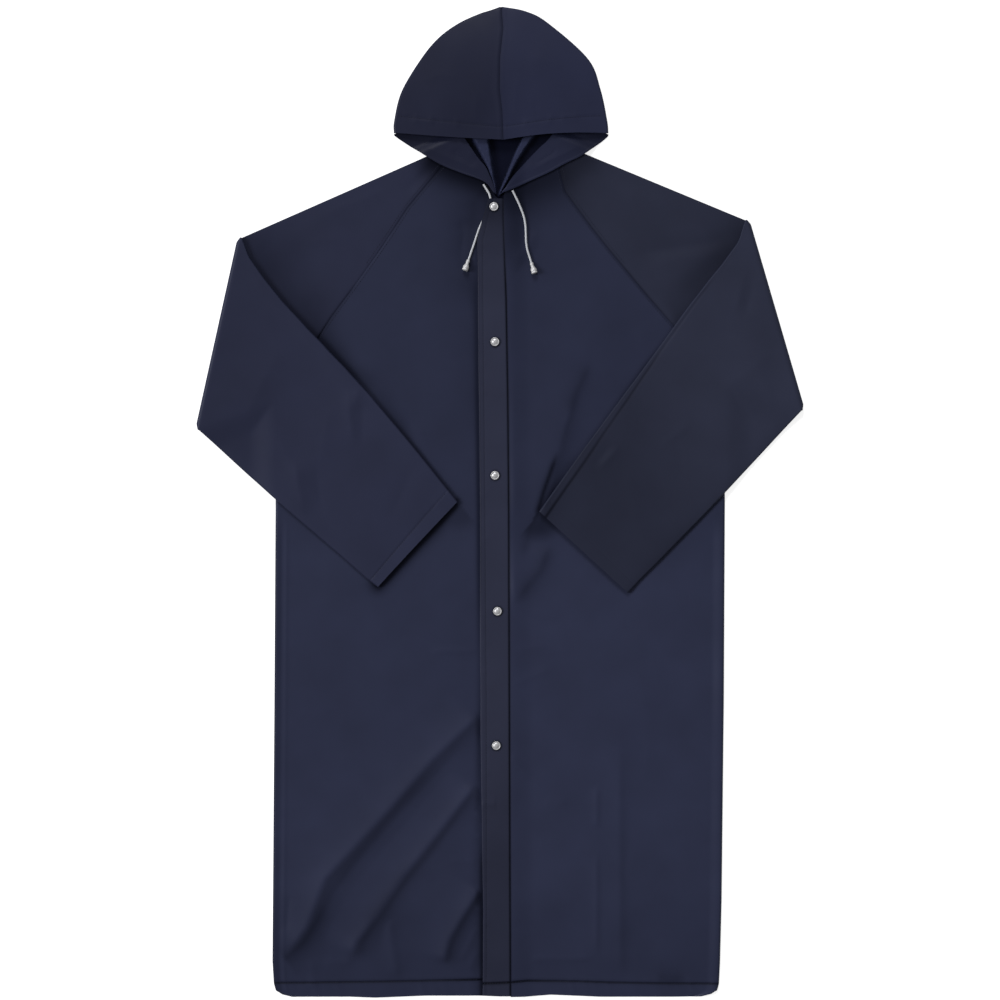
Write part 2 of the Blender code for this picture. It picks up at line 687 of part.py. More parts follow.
def snap(number, x, y, finish):
    """Snap cap: a low dome with a rolled rim, seated on the placket."""
    r, h = SNAP_RADIUS, SNAP_HEIGHT
    profile = ((0, 0), (r * 0.9, 0), (r, h * 0.25), (r * 0.94, h * 0.6), (r * 0.8, h * 0.72), (r * 0.45, h * 0.93),
               (0, h))
    cap = turned(f"snap_{number}", profile, finish)
    cap.location = (x * MM, y * MM, (placket_top(x, y) + SEAM_GAP) * MM)
    return cap


def cord_floor(name, x, y):
    """What a drawstring end lies on at a point of its route."""
    return front_top(LEFT if name == "cord_left" else RIGHT, x, y)


def cord(name, finish):
    """One free end of the drawstring, as a round cord on its smooth route."""
    route = through(CORD_ROUTES[name], np.linspace(0.0, 1.0, CORD_POINTS))
    curve = bpy.data.curves.new(name, "CURVE")
    curve.dimensions = "3D"
    curve.bevel_depth = CORD_RADIUS * MM
    curve.bevel_resolution = 2
    curve.use_fill_caps = True
    spline = curve.splines.new("POLY")
    spline.points.add(len(route) - 1)
    for point, (x, y) in zip(spline.points, route):
        point.co = (x * MM, y * MM, (cord_floor(name, x, y) + CORD_AIR + CORD_RADIUS) * MM, 1.0)
    curve.materials.append(finish)
    made = bpy.data.objects.new(name, curve)
    bpy.context.scene.collection.objects.link(made)
    return route


def bell(name, cord_name, route, finish):
    """Bell-shaped cord end, lying on the coat in line with the end of its cord."""
    neck, mouth, length = BELL_NECK, BELL_MOUTH, BELL_LENGTH
    profile = ((0, 0), (neck - 0.5, 0), (neck, 0.5), (neck, length * 0.3), (neck + 0.5, length * 0.45),
               (mouth - 0.3, length * 0.6), (mouth, length * 0.7), (mouth, length - 0.6), (mouth - 0.6, length),
               (0, length))
    made = turned(name, profile, finish)
    (x0, y0), (x1, y1) = route[-2], route[-1]
    along = Vector((x1 - x0, y1 - y0, 0.0)).normalized()
    start_z = cord_floor(cord_name, x1, y1) + SEAM_GAP + neck
    end_x, end_y = x1 + along.x * length, y1 + along.y * length
    end_z = cord_floor(cord_name, end_x, end_y) + SEAM_GAP + mouth + 0.5
    direction = Vector((along.x * length, along.y * length, end_z - start_z)).normalized()
    made.rotation_mode = "QUATERNION"
    made.rotation_quaternion = direction.to_track_quat("Z", "Y")
    start = Vector((x1, y1, start_z)) + direction * SEAM_GAP
    made.location = start * MM
    return made


def main():
    for old in list(bpy.data.objects):
        bpy.data.objects.remove(old, do_unlink=True)
    navy = material("navy_coated_cloth", (0.020, 0.024, 0.052), 0.55)
    white = material("cord_braid", (0.62, 0.62, 0.62), 0.8)
    silver = material("silver_grey_ends", (0.5, 0.5, 0.52), 0.45)
    metal = material("snap_metal", (0.72, 0.72, 0.72), 0.3, 1.0)

    back_panel(navy)
    front("front_right", RIGHT, RIGHT_ROWS, 19, navy)
    front("front_left", LEFT, LEFT_ROWS, 17, navy)
    placket(navy)
    sleeve("sleeve_right", RIGHT, navy)
    sleeve("sleeve_left", LEFT, navy)
    hood_half("hood_right", RIGHT, navy)
    hood_half("hood_left", LEFT, navy)
    for number, (x, y) in enumerate(SNAPS, start=1):
        snap(number, x, y, metal)
    for name in CORD_ROUTES:
        route = cord(name, white)
        bell(name.replace("cord", "cord_end"), name, route, silver)


main()
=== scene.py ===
"""Looks of the hooded raincoat: thin cloth shells on the solids, with their sewing and fastenings."""

import math

import bmesh
import bpy
import numpy as np
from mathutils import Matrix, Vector


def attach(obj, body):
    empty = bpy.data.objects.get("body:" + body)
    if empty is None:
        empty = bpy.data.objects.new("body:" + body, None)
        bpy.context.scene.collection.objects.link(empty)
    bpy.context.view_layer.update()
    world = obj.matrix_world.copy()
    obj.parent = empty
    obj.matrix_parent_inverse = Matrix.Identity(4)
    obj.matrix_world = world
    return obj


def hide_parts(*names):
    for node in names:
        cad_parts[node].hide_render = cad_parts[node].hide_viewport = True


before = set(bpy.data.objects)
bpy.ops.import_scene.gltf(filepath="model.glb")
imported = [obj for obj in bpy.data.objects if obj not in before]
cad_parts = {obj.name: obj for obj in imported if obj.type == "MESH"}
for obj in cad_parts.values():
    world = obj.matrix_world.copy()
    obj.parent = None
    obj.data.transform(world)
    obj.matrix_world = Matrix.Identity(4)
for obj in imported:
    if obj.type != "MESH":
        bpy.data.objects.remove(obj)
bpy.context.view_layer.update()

MM = 0.001  # sizes below are in millimetres, Blender is in metres

# ------------------------------------------------------------------ sizes shared with the solids

CLOTH = 1.2  # thickness of a wall
SHELL = 0.9  # thickness of the shells that are seen
SEAM_GAP = 0.3  # between pieces that are sewn together
LAYER_GAP = 1.0  # between layers that lie on each other
COAT_TOP = 5.2  # outer face of the fronts, above the floor
TUBE_EDGE = 2.6  # width of the round folded edge of a sleeve
PLACKET_CLOTH = 2.4
PLACKET_RISE = 0.5 + PLACKET_CLOTH
RISE_RUN = 34.0  # the left front climbs to the placket over this width
FLAP_LIFT = 3.6  # the placket's upper end is lifted by this much
FLAP_LIFT_FROM, FLAP_LIFT_TO = 345.0, 392.0
HEM_STEP = 0.8  # the turned hem is this much thicker
HEM_LINE = -684.5  # y of its sewn line
HEM_EDGE = -709.0
HEM_DROP = 1.7  # the fronts sink this much towards the hem
HEM_DROP_RUN = 40.0
SIDE_CURL = 3.7  # radius of the fronts' turn down to the side seam
SIDE_FOOT = CLOTH + SEAM_GAP
BODY_SIDES = (
    # y, right x, left x
    (-709.0, -299.0, 290.0),
    (-705.5, -312.0, 303.0),
    (-698.0, -320.8, 310.6),
    (-684.5, -323.8, 313.4),
    (-656.0, -325.7, 315.0),
    (-570.0, -325.0, 317.2),
    (-283.0, -322.9, 320.4),
    (3.0, -321.2, 321.9),
    (140.0, -319.8, 321.0),
)
RAGLAN_RIGHT = (
    (-56.0, 516.0), (-83.0, 480.0), (-113.0, 444.0), (-133.0, 419.5), (-155.0, 385.5),
    (-178.0, 351.5), (-210.5, 306.0), (-241.0, 265.0), (-270.0, 221.0), (-315.0, 152.0),
)
RAGLAN_LEFT = (
    (76.0, 517.0), (84.0, 480.0), (93.0, 444.0), (109.0, 422.0), (132.0, 391.0),
    (155.0, 362.0), (210.5, 295.0), (248.0, 252.0), (276.0, 221.0), (315.0, 169.0),
)
NECK_RIGHT = (
    # y, x
    (431.0, 1.0), (438.0, -7.0), (455.0, -12.0), (478.0, -22.0), (493.0, -34.0), (505.0, -43.0),
    (516.0, -50.0),
)
NECK_LEFT = (
    (431.0, 4.6), (438.0, 5.5), (450.0, 10.5), (464.0, 19.0), (478.0, 31.0), (488.0, 41.0), (507.0, 58.5),
    (517.0, 69.0),
)
PLACKET = (
    # y, free edge, seam
    (-708.0, -25.8, 14.8),
    (-283.0, -26.5, 13.2),
    (3.0, -28.6, 12.3),
    (146.0, -30.0, 11.0),
    (289.0, -31.5, 8.6),
    (375.0, -31.5, 5.4),
    (404.0, -24.3, 4.6),
    (433.5, -15.8, 4.3),
)
UNDERLAP = 3.0  # the right front runs on this far past the placket's seam
SEAM_X = 1.5  # the hood's centre seam
CROWN_Y = 709.0
RIM_Y = 517.0
HOOD_OUTLINE = {
    -1: ((1.5, 709), (-14, 703.5), (-31, 698), (-60, 684.5), (-88, 664), (-113, 634), (-141, 587),
         (-151.5, 545), (-152, 528)),
    1: ((1.5, 709), (37, 702), (69, 685), (126, 634), (144, 590), (153.5, 545), (155, 528)),
}
LAPEL_RIM = {
    -1: ((-152, 528), (-148, 522), (-110, 497.5), (-84.5, 482.6), (-56, 471), (-23, 459), (-9, 443)),
    1: ((155, 528), (152, 521), (120, 497.5), (95, 485), (69, 471), (36, 456), (19, 448), (-1, 440)),
}
LAPEL_NECK = {
    -1: ((-58.5, 532), (-46, 513), (-32, 492.6), (-20, 478), (-10, 455), (-5, 440.5)),
    1: ((79.5, 532), (68, 517), (57, 507), (39, 488.3), (17.5, 464), (3.5, 441.5)),
}
RIM_BOW = {-1: -1.0, 1: 4.0}  # how far the rim bows towards the crown
HOOD_EDGE = 3.5  # radius of the hood's folded outline
HOOD_DOME = 10.0  # rise of its upper layer along the centre seam
BACK_SEAM_END = 540.4  # y at which the lower layer's centre seam meets the neck
BACK_SHARE = 0.8  # share of the rows that end on that seam, before those that end on the neck
SHOULDER_RAMP = 16.0  # the lapel climbs over the shoulder's edge on this run
SHOULDER_CLEAR = 5.0
BEND_AXIS = COAT_TOP + 0.5  # height of the axis round which a sleeve is folded over
SLEEVE_PUFF = 1.2
SAG = 0.75  # beside the body a folded arm sags by this share of the coat's height
SAG_RUN = 40.0
CORNER_RUN = 9.0  # near its two ends the fold's bend is smaller
CORNER_CUT = 0.55
SNAPS = ((-8.7, 421.8), (-7.2, 229.0), (-7.2, 38.0), (-3.6, -156.0), (-5.3, -348.0))
CORD_RADIUS = 1.5
CORD_AIR = 0.45  # between a cord and the cloth below it
CORD_ROUTES = {
    "cord_right": ((-23.8, 454), (-20.6, 449), (-17.8, 444.5), (-15.2, 439.5), (-13.6, 432), (-14.5, 423),
                   (-18.5, 413), (-24.8, 401.5), (-30.3, 389.5), (-34.8, 376), (-39.5, 362), (-45, 346)),
    "cord_left": ((17.8, 445), (21, 438.5), (25.5, 429.6), (30.5, 418), (34.4, 406.7), (36.4, 395),
                  (37, 383), (37.4, 372), (39, 361), (42, 351), (44.8, 342)),
}
BELL_LENGTH = 16.0
BELL_NECK, BELL_MOUTH = 2.5, 4.35

# Largest folds, on the solids' routes but crisper.
FOLDS = (
    # height, gentle run, steep run, shares of the length over which it rises and dies away, crest's route
    (6.6, 27.0, 13.0, 0.05, 0.09,
     ((-28, -302), (-97, -368), (-152, -432), (-210, -495), (-250, -538), (-276, -607), (-309, -653))),
    (5.8, 20.0, 9.5, 0.06, 0.07,
     ((-34, -402), (-89, -474), (-137, -534), (-175, -592), (-205, -628), (-215, -656))),
    (4.8, 16.0, 7.0, 0.06, 0.12, ((-30, -554), (-57, -598), (-73, -627), (-82, -662))),
    (2.0, 9.0, 6.0, 0.2, 0.2, ((-159, -586), (-154, -634), (-146, -684))),
    (4.6, 46.0, 9.0, 0.35, 0.3, ((128, 196), (108, 150), (94, 110), (76, 40), (56, -30), (40, -62))),
    (3.2, 34.0, 8.0, 0.25, 0.3, ((72, -58), (56, -96), (30, -128), (12, -150))),
    (1.2, 30.0, 26.0, 0.4, 0.4, ((84, -436), (131, -476), (171, -522), (229, -572))),
    (2.2, 24.0, 7.0, 0.3, 0.14, ((171, -312), (171, -480), (172, -640), (172, -690))),
)
FOLD_CLEAR = 9.0  # the folds end this far beside the placket
FOLD_TIP, CREASE_TIP, DEPTH_TIP = 2.6, 1.1, 2.0  # how round the crests of folds, creases and depths are

# ------------------------------------------------------------------ detail that only the shells have

# Finer creases of the fronts: height, width to one side, width to the other, route.
CREASES = (
    (-0.9, 8.0, 9.0, ((-40, -330), (-84, -382), (-150, -452), (-204, -515), (-240, -560), (-262, -620))),
    (-0.8, 8.0, 8.0, ((-40, -424), (-96, -502), (-146, -560), (-186, -614), (-206, -650))),
    (0.9, 6.0, 5.0, ((-208, -655), (-228, -658), (-252, -657))),
    (0.9, 5.0, 6.0, ((-269, -652), (-268, -672), (-270, -696))),
    (-0.8, 6.0, 6.0, ((-300, -560), (-304, -590), (-306, -616))),
    (0.7, 4.0, 4.0, ((-31, -606), (-44, -632), (-57, -658))),
    (0.6, 4.0, 4.0, ((-30, -640), (-38, -656), (-46, -672))),
    (0.8, 3.5, 3.5, ((-29, -212), (-62, -213), (-102, -213))),
    (0.5, 4.0, 4.0, ((-31, -515), (-52, -514), (-74, -512))),
    (1.2, 6.0, 2.2, ((138.4, -405), (138.8, -438), (138.6, -470))),
    (1.2, 6.0, 2.0, ((138.6, -494), (139.0, -560), (138.4, -656))),
    (1.0, 2.5, 5.0, ((40, -653), (90, -654), (138, -652))),
    (0.5, 4.0, 5.0, ((203, -679), (228, -680), (256, -679))),
    (0.5, 5.0, 8.0, ((62, -428), (78, -434), (98, -430))),
    (0.6, 5.0, 5.0, ((15, -262), (44, -250), (76, -236))),
    (0.5, 5.0, 5.0, ((15, -360), (30, -382), (42, -398))),
    (0.5, 6.0, 6.0, ((14, -146), (48, -158), (88, -166))),
    (0.5, 5.0, 6.0, ((16, -214), (60, -206), (104, -216))),
    (-0.9, 7.0, 9.0, ((122, 176), (96, 104), (70, 26), (44, -44))),
    (-0.6, 6.0, 8.0, ((64, -76), (42, -110), (18, -140))),
    (-1.5, 10.0, 12.0, ((-58, 408), (-52, 384), (-56, 352), (-50, 322))),
    (0.9, 9.0, 8.0, ((-38, 396), (-37, 366), (-36, 330))),
    (0.7, 6.0, 7.0, ((54, 388), (40, 366), (20, 342))),
    (-0.6, 7.0, 7.0, ((60, 372), (44, 350), (18, 322))),
    (0.5, 9.0, 9.0, ((-120, 120), (-98, 60), (-84, 4))),
    (0.45, 12.0, 12.0, ((196, -232), (214, -330), (206, -420))),
)
# Each front ends in a low welt over its side seam. Height, inner and outer limits of its rise.
WELT = {-1: (1.3, 10.5, 4.0), 1: (1.9, 19.0, 4.5)}
WELT_END, WELT_FADE = -12.0, 46.0  # it fades out below the sleeve
SIDE_TUCK = 0.4  # low tuck along the right side, inside the welt
SIDE_TUCK_AT = 16.2
SLOT_DEPTH = 2.3  # the right front sinks beside the placket's free edge
SLOT_RUNS = ((-560.0, 9.0), (-300.0, 5.0), (0.0, 3.6), (160.0, 4.5), (300.0, 6.0))  # y, over this width
SLOT_TOP, SLOT_TOP_RUN = 352.0, 60.0
# The hollow under the right arm: depth and run beside the sleeve's edge, from one end to the other.
ARM_HOLLOW = (2.2, 24.0, (-304, 270), (-146, 84))
SEAM_DEPTH, SEAM_RUN = 0.3, 1.35  # the sunk line of a seam
# Painted shade along the line of each raglan seam: how dark it is, by y.
RAGLAN_DARK = {
    -1: ((150, 0.6), (222, 0.6), (244, 0.42), (298, 0.42), (314, 0.08), (380, 0.08), (394, 0.3), (432, 0.4),
         (480, 0.4)),
    1: ((150, 0.0), (218, 0.02), (240, 0.26), (300, 0.46), (440, 0.36), (480, 0.1)),
}
RAGLAN_DARK_RUN = 2.2
# Painted shadow on the cloth beside each arm's upper edge, by share of its length: how dark it is, and how
# far that reaches.
ARM_SHADE = {
    -1: ((0.0, 0.3, 40), (0.05, 0.34, 54), (0.12, 0.46, 70), (0.2, 0.42, 50), (0.3, 0.48, 46),
         (0.4, 0.62, 25),
         (0.5, 0.66, 15), (0.6, 0.26, 26), (0.7, 0.5, 16), (0.8, 0.58, 5), (0.95, 0.5, 3.5), (1.0, 0.25, 3)),
    1: ((0.0, 0.3, 34), (0.05, 0.46, 40), (0.12, 0.46, 40), (0.2, 0.36, 38), (0.3, 0.24, 38), (0.36, 0.4, 5),
        (0.4, 0.5, 4), (0.5, 0.8, 5), (0.6, 0.45, 5), (0.7, 0.3, 5), (0.8, 0.1, 6), (0.86, 0.3, 12),
        (0.93, 0.62, 8), (1.0, 0.5, 5)),
}
# How far each arm's upper edge lies inside the line from shoulder to cuff, by share of its length.
ARM_DIP = {
    -1: ((0.0, 0.0), (0.05, 9.5), (0.12, 12.0), (0.2, 12.2), (0.3, 9.5), (0.4, 6.0), (0.5, 2.6), (0.6, 0.3),
         (0.8, -0.9), (1.0, 0.0)),
    1: ((0.0, 0.0), (0.05, 9.5), (0.12, 9.0), (0.2, 6.5), (0.3, 4.6), (0.4, 4.2), (0.5, 3.5), (0.6, 2.2),
        (0.7, 1.2), (0.8, 0.2), (1.0, 0.3)),
}
# How far each arm's lower edge bows out, by share of its length.
ARM_BOW = {
    -1: ((0.0, 0.0), (0.3, 3.0), (0.5, 4.0), (0.8, 3.6), (0.94, 4.0), (1.0, 2.6)),
    1: ((0.0, 0.0), (0.3, 1.2), (0.55, 1.6), (0.8, 0.2), (0.94, -1.4), (1.0, -1.0)),
}
EDGE_LEAN = 0.79  # an arm's cross direction against the normal of its upper edge
# The same painted shadow beside the rim of the hood's lower front.
LAPEL_SHADE = {
    -1: ((0.0, 0.25, 16), (0.3, 0.5, 20), (0.4, 0.92, 27), (0.93, 0.93, 27), (1.0, 0.8, 22)),
    1: ((0.0, 0.32, 20), (0.3, 0.56, 34), (0.55, 0.74, 44), (0.85, 0.8, 42), (1.0, 0.72, 28)),
}
# The same painted shadow below the right cuff.
CUFF_SHADE = ((0.0, 0.7, 5.0), (0.1, 0.75, 6.5), (0.3, 0.82, 12.5), (1.0, 0.82, 12.5))
SHADE_UNDER, SHADE_UNDER_RUN = 50.0, 25.0  # an arm's shade fades out this far beneath the arm
# Painted shade in the depths of the folds and beside the placket.
# How dark, reach to one side and to the other, rise, die away, route.
DEPTHS = {
    -1: (
        (0.22, 9.0, 16.0, 0.25, 0.1,
         ((-86, -368), (-134, -418), (-182, -480), (-214, -520), (-240, -560), (-262, -604))),
        (0.42, 7.0, 13.0, 0.35, 0.05, ((-240, -556), (-262, -600), (-281, -630), (-310, -655))),
        (0.22, 7.0, 12.0, 0.3, 0.1, ((-118, -500), (-150, -546), (-182, -596), (-194, -624), (-200, -654))),
        (0.28, 6.0, 9.0, 0.1, 0.15, ((-26, -560), (-48, -590), (-68, -622), (-78, -662))),
        (0.28, 20.0, 16.0, 0.1, 0.35, ((-36, 442), (-40, 400), (-44, 350), (-42, 300), (-40, 240))),
        (0.15, 26.0, 26.0, 0.2, 0.4, ((-34, 330), (-33, 180), (-33, 60))),
    ),
    1: (
        (0.3, 8.0, 4.5, 0.3, 0.3, ((129, 208), (124, 186), (106, 150), (96, 118))),
        (0.85, 2.4, 3.2, 0.25, 0.2, ((84, 76), (74, 48), (61.6, 13), (54, -14), (50, -30))),
        (0.22, 6.0, 6.0, 0.2, 0.3, ((54, -6), (46, -32), (38, -56), (30, -84))),
        (0.26, 7.5, 7.0, 0.25, 0.3, ((74, -54), (58, -92), (36, -122), (14, -148))),
        (0.22, 18.0, 16.0, 0.1, 0.35, ((18, 432), (24, 400), (28, 360), (26, 310))),
        (0.22, 5.0, 6.0, 0.2, 0.3, ((222, -676), (250, -678), (268, -676))),
    ),
}
HEM_WAVE = (
    # x, how far the hem's edge is drawn up
    (-330, 1.4), (-215, 1.4), (-179, 0.0), (-143, 1.4), (-107, 2.9), (-36, 2.9), (0, 1.4), (36, 1.4),
    (72, 4.3),
    (107, 2.9), (143, 1.4), (250, 1.4), (330, 2.9),
)
HEM_WAVE_RUN = 20.0
# x and y of the hem's sewn line, on the right front and on the left front with the placket.
HEM_LINES = {
    -1: ((-330, -688.2), (-286, -687.8), (-160, -686.2), (-26, -683.2)),
    1: ((-26, -688.6), (7, -687.4), (39, -684.9), (120, -686.1), (162, -687.6), (223, -688.7), (300, -689.0)),
}
# Soft creases of the coat's back, seen from beneath.
BACK_CREASES = (
    (1.6, 16.0, 22.0, ((-210, 60), (-120, -60), (-60, -210), (-40, -330))),
    (1.4, 18.0, 14.0, ((230, -90), (140, -240), (90, -400))),
    (1.2, 12.0, 18.0, ((-250, -250), (-190, -390), (-160, -560))),
    (1.0, 10.0, 14.0, ((40, 330), (20, 220), (34, 80))),
    (0.9, 9.0, 12.0, ((200, -420), (230, -520), (214, -640))),
    (0.9, 14.0, 9.0, ((-70, -430), (-20, -540), (-30, -650))),
)


# ------------------------------------------------------------------ curves and heights


def smooth(value):
    """0 below 0, 1 above 1, and a soft S between."""
    t = np.clip(value, 0.0, 1.0)
    return t * t * (3.0 - 2.0 * t)


def bell_curve(distance, run):
    """1 at distance 0, and near 0 beyond twice the run."""
    return np.exp(-((distance / run) ** 2))


def within(share, start, end):
    """1 along a route but for its ends: it rises over one share of its length and dies away over another."""
    return smooth(share / start) * smooth((1.0 - share) / end)


def over(*darks):
    """How dark cloth is painted where several painted shades fall on it."""
    light = 1.0
    for dark in darks:
        light = light * (1.0 - dark)
    return 1.0 - light


def unit(rows):
    """Each row scaled to length 1."""
    return rows / np.linalg.norm(rows, axis=1)[:, None]


def lengths_along(path):
    """Length of a path up to each of its points."""
    return np.concatenate([[0.0], np.cumsum(np.linalg.norm(np.diff(path, axis=0), axis=1))])


def column_at(table, y, column):
    """Reads a table that starts with y, at any y."""
    rows = np.array(table, dtype=float)
    return np.interp(y, rows[:, 0], rows[:, column])


def placket_edges(y):
    """x of the placket's free edge and of its seam."""
    return column_at(PLACKET, y, 1), column_at(PLACKET, y, 2)


def through(points, share, straight=False):
    """Points at shares of the length of a smooth curve through points, or of the straight runs between."""
    points = np.array(points, dtype=float)
    if not straight:
        ends = np.vstack([2 * points[0] - points[1], points, 2 * points[-1] - points[-2]])
        fine = []
        for i in range(1, len(ends) - 2):
            p0, p1, p2, p3 = ends[i - 1 : i + 3]
            for t in np.linspace(0.0, 1.0, 24, endpoint=False):
                a = 2 * p1 + (p2 - p0) * t
                b = (2 * p0 - 5 * p1 + 4 * p2 - p3) * t**2
                c = (3 * p1 - p0 - 3 * p2 + p3) * t**3
                fine.append((a + b + c) / 2)
        points = np.vstack([fine, points[-1]])
    length = lengths_along(points)
    at = np.asarray(share) * length[-1]
    return np.stack([np.interp(at, length, points[:, k]) for k in range(points.shape[1])], axis=-1)


def beside_route(x, y, route):
    """Distance of points from a route, which side they are on, and their share of its length."""
    route = np.array(route, dtype=float)
    lengths = np.linalg.norm(np.diff(route, axis=0), axis=1)
    best = np.full(np.shape(x), 1e9)
    offset, along = np.zeros(np.shape(x)), np.zeros(np.shape(x))
    run = 0.0
    for a, b, length in zip(route[:-1], route[1:], lengths):
        px, py = b - a
        t = np.clip(((x - a[0]) * px + (y - a[1]) * py) / length**2, 0, 1)
        dx, dy = x - a[0] - t * px, y - a[1] - t * py
        gap = np.hypot(dx, dy)
        nearer = gap < best
        best = np.where(nearer, gap, best)
        offset = np.where(nearer, px * dy - py * dx, offset)
        along = np.where(nearer, (run + t * length) / lengths.sum(), along)
        run += length
    return best, offset, along


def ridge(x, y, height, first_run, second_run, route, start, end, tip=CREASE_TIP):
    """Height of one fold at each point: a crest that falls off over a run of its own on each side."""
    gap, offset, along = beside_route(x, y, route)
    run = np.where(offset > 0, second_run, first_run)
    fall = np.exp(-(np.sqrt(gap**2 + tip**2) - tip) / run)
    return height * within(along, start, end) * fall


def creased(x, y, creases, start=0.3, end=0.3):
    """Sum of a table of creases."""
    total = np.zeros(np.shape(x))
    for crease in creases:
        total = total + ridge(x, y, *crease, start=start, end=end)
    return total


def raglan_line(x, y, side, run=SEAM_RUN):
    """1 along a raglan seam and 0 away from it."""
    return bell_curve(beside_route(x, y, side.raglan)[0], run)


def at_share(table, share, column=1):
    """Reads a table that starts with a share, softly from row to row."""
    rows = np.array(table, dtype=float)
    k = np.clip(np.searchsorted(rows[:, 0], share) - 1, 0, len(rows) - 2)
    t = (share - rows[k, 0]) / (rows[k + 1, 0] - rows[k, 0])
    soft = 0.6 * smooth(t) + 0.4 * np.clip(t, 0.0, 1.0)
    return rows[k, column] + (rows[k + 1, column] - rows[k, column]) * soft


def beside_shade(x, y, route, table, inward=0.0):
    """Painted shadow on the cloth beside a route. inward moves the route's edge away from the cloth, by
    share.
    """
    gap, offset, along = beside_route(x, y, route)
    seen = 1.0
    if inward:
        outside = gap * np.sign(offset) * -inward
        seen = smooth((outside + SHADE_UNDER) / SHADE_UNDER_RUN)
        gap = np.maximum(outside + at_share(ARM_DIP[inward], along), 0.0)
    return at_share(table, along) * bell_curve(gap, at_share(table, along, 2)) * seen


def painted_front_shade(side, x, y):
    """Painted shade on a front and on the shoulder beside it: in its depths, along the raglan seam, and
    painted shadow under the arm, the lapel and the right cuff.
    """
    dark = np.zeros(np.shape(x))
    for strength, first_run, second_run, start, end, route in DEPTHS[side.sign]:
        dark = np.maximum(dark, ridge(x, y, strength, first_run, second_run, route, start, end, DEPTH_TIP))
    by_arm = beside_shade(x, y, (side.shoulder, side.cuff_high), ARM_SHADE[side.sign], side.sign)
    by_lapel = beside_shade(x, y, LAPEL_RIM[side.sign], LAPEL_SHADE[side.sign])
    by_cuff = beside_shade(x, y, (side.cuff_high, side.cuff_low), CUFF_SHADE) if side.sign < 0 else 0.0
    line = column_at(RAGLAN_DARK[side.sign], y, 1) * raglan_line(x, y, side, RAGLAN_DARK_RUN)
    return over(dark, by_arm, by_lapel, by_cuff, line)


def fold_height(x, y):
    """Height that the large folds add to the fronts."""
    total = np.zeros(np.shape(x))
    for height, gentle, steep, start, end, route in FOLDS:
        total = np.maximum(total, ridge(x, y, height, gentle, steep, route, start, end, FOLD_TIP))
    free, seam = placket_edges(y)
    return total * smooth(np.maximum(free - x, x - seam) / FOLD_CLEAR)


def ripple(x, y, size, seed):
    """A calm, uneven swell of about -1 to 1 whose waves are about size across."""
    total = np.zeros(np.shape(x))
    for k in range(5):
        turn = seed * 1.7 + k * 2.4
        step = 2 * math.pi / (size * (0.7 + 0.23 * k))
        total = total + np.sin((x * math.cos(turn) + y * math.sin(turn)) * step + seed * 3.1 + k * 1.3)
    return total / 3.2


def puckers(along, size, seed):
    """Small uneven gathers along a row of sewing, from 0 to about 1."""
    turn = 2 * np.pi * along / size
    wave = np.sin(turn + seed) + 0.8 * np.sin(turn / 1.73 + 2.3 * seed)
    patch = 0.5 + 0.5 * np.sin(turn / 9.1 + 1.7 * seed)
    return np.clip(wave, 0.0, 2.0) * 0.6 * patch


def under_top(x, y):
    """Outer face of the fronts, without the rise to the placket."""
    drop = HEM_DROP * smooth((HEM_LINE + HEM_DROP_RUN - y) / HEM_DROP_RUN)
    step = HEM_STEP * smooth((HEM_LINE + 0.7 - y) / 1.4)
    return COAT_TOP + fold_height(x, y) - drop + step


def flap_lift(y):
    return FLAP_LIFT * smooth((y - FLAP_LIFT_FROM) / (FLAP_LIFT_TO - FLAP_LIFT_FROM))


def placket_top(x, y):
    return under_top(x, y) + PLACKET_RISE + flap_lift(y)


def hem_wave(x, y, table):
    """How far a point near the hem is moved along y, so that its edge and its sewn line wave a little."""
    edge = np.interp(x, *np.array(HEM_WAVE, dtype=float).T) * (1.0 - smooth((y - HEM_EDGE) / HEM_WAVE_RUN))
    line = np.interp(x, *np.array(table, dtype=float).T) - HEM_LINE
    return edge + line * smooth((y - HEM_EDGE) / (HEM_LINE - HEM_EDGE)) * smooth((HEM_LINE + 45.0 - y) / 45.0)


class Side:
    """The measures of one side of the coat. sign is -1 on the wearer's right and +1 on the left."""

    def __init__(self, sign, column, raglan, neck, shoulder, elbow, cuff_high, cuff_low):
        self.sign = sign
        self.column = column
        self.raglan = raglan
        self.neck = neck
        self.shoulder = shoulder
        self.elbow = elbow
        self.cuff_high = cuff_high
        self.cuff_low = cuff_low


RIGHT = Side(-1, 1, RAGLAN_RIGHT, NECK_RIGHT, (-376.0, 375.2), (-435.2, 107.0), (-61.6, 1.4),
             (-174.7, -118.4))
LEFT = Side(1, 2, RAGLAN_LEFT, NECK_LEFT, (357.8, 400.4), (435.2, 135.2), (55.8, -12.9), (183.3, -131.0))


def front_top(side, x, y):
    """Outer face of a front and of the sleeve beside it. The left front climbs to the placket."""
    if side.sign < 0:
        return under_top(x, y)
    seam = column_at(PLACKET, y, 2)
    return under_top(x, y) + (PLACKET_RISE + flap_lift(y)) * smooth((seam + RISE_RUN - x) / RISE_RUN)


def depth_inside(side, start, end, x, y):
    """Distance of points below a line that runs outward from start to end."""
    run, fall = end[0] - start[0], end[1] - start[1]
    return side.sign * ((x - start[0]) * fall - (y - start[1]) * run) / math.hypot(run, fall)


def support(side, x, y):
    """What a folded sleeve lies on: the coat, and beside the body a sag towards the floor."""
    beside = np.abs(x) - np.abs(column_at(BODY_SIDES, y, side.column))
    below = depth_inside(side, side.raglan[-1], side.elbow, x, y)
    return front_top(side, x, y) * (1.0 - SAG * smooth(np.minimum(beside, below) / SAG_RUN))


# ------------------------------------------------------------------ meshes

# Painted shade: each point's tone multiplies its cloth's base colour, darker where shade is painted.
TONE_DEPTH, TONE_LIMITS = 0.9, (0.07, 1.4)  # the darkest cloth's tone, and the tones that are kept


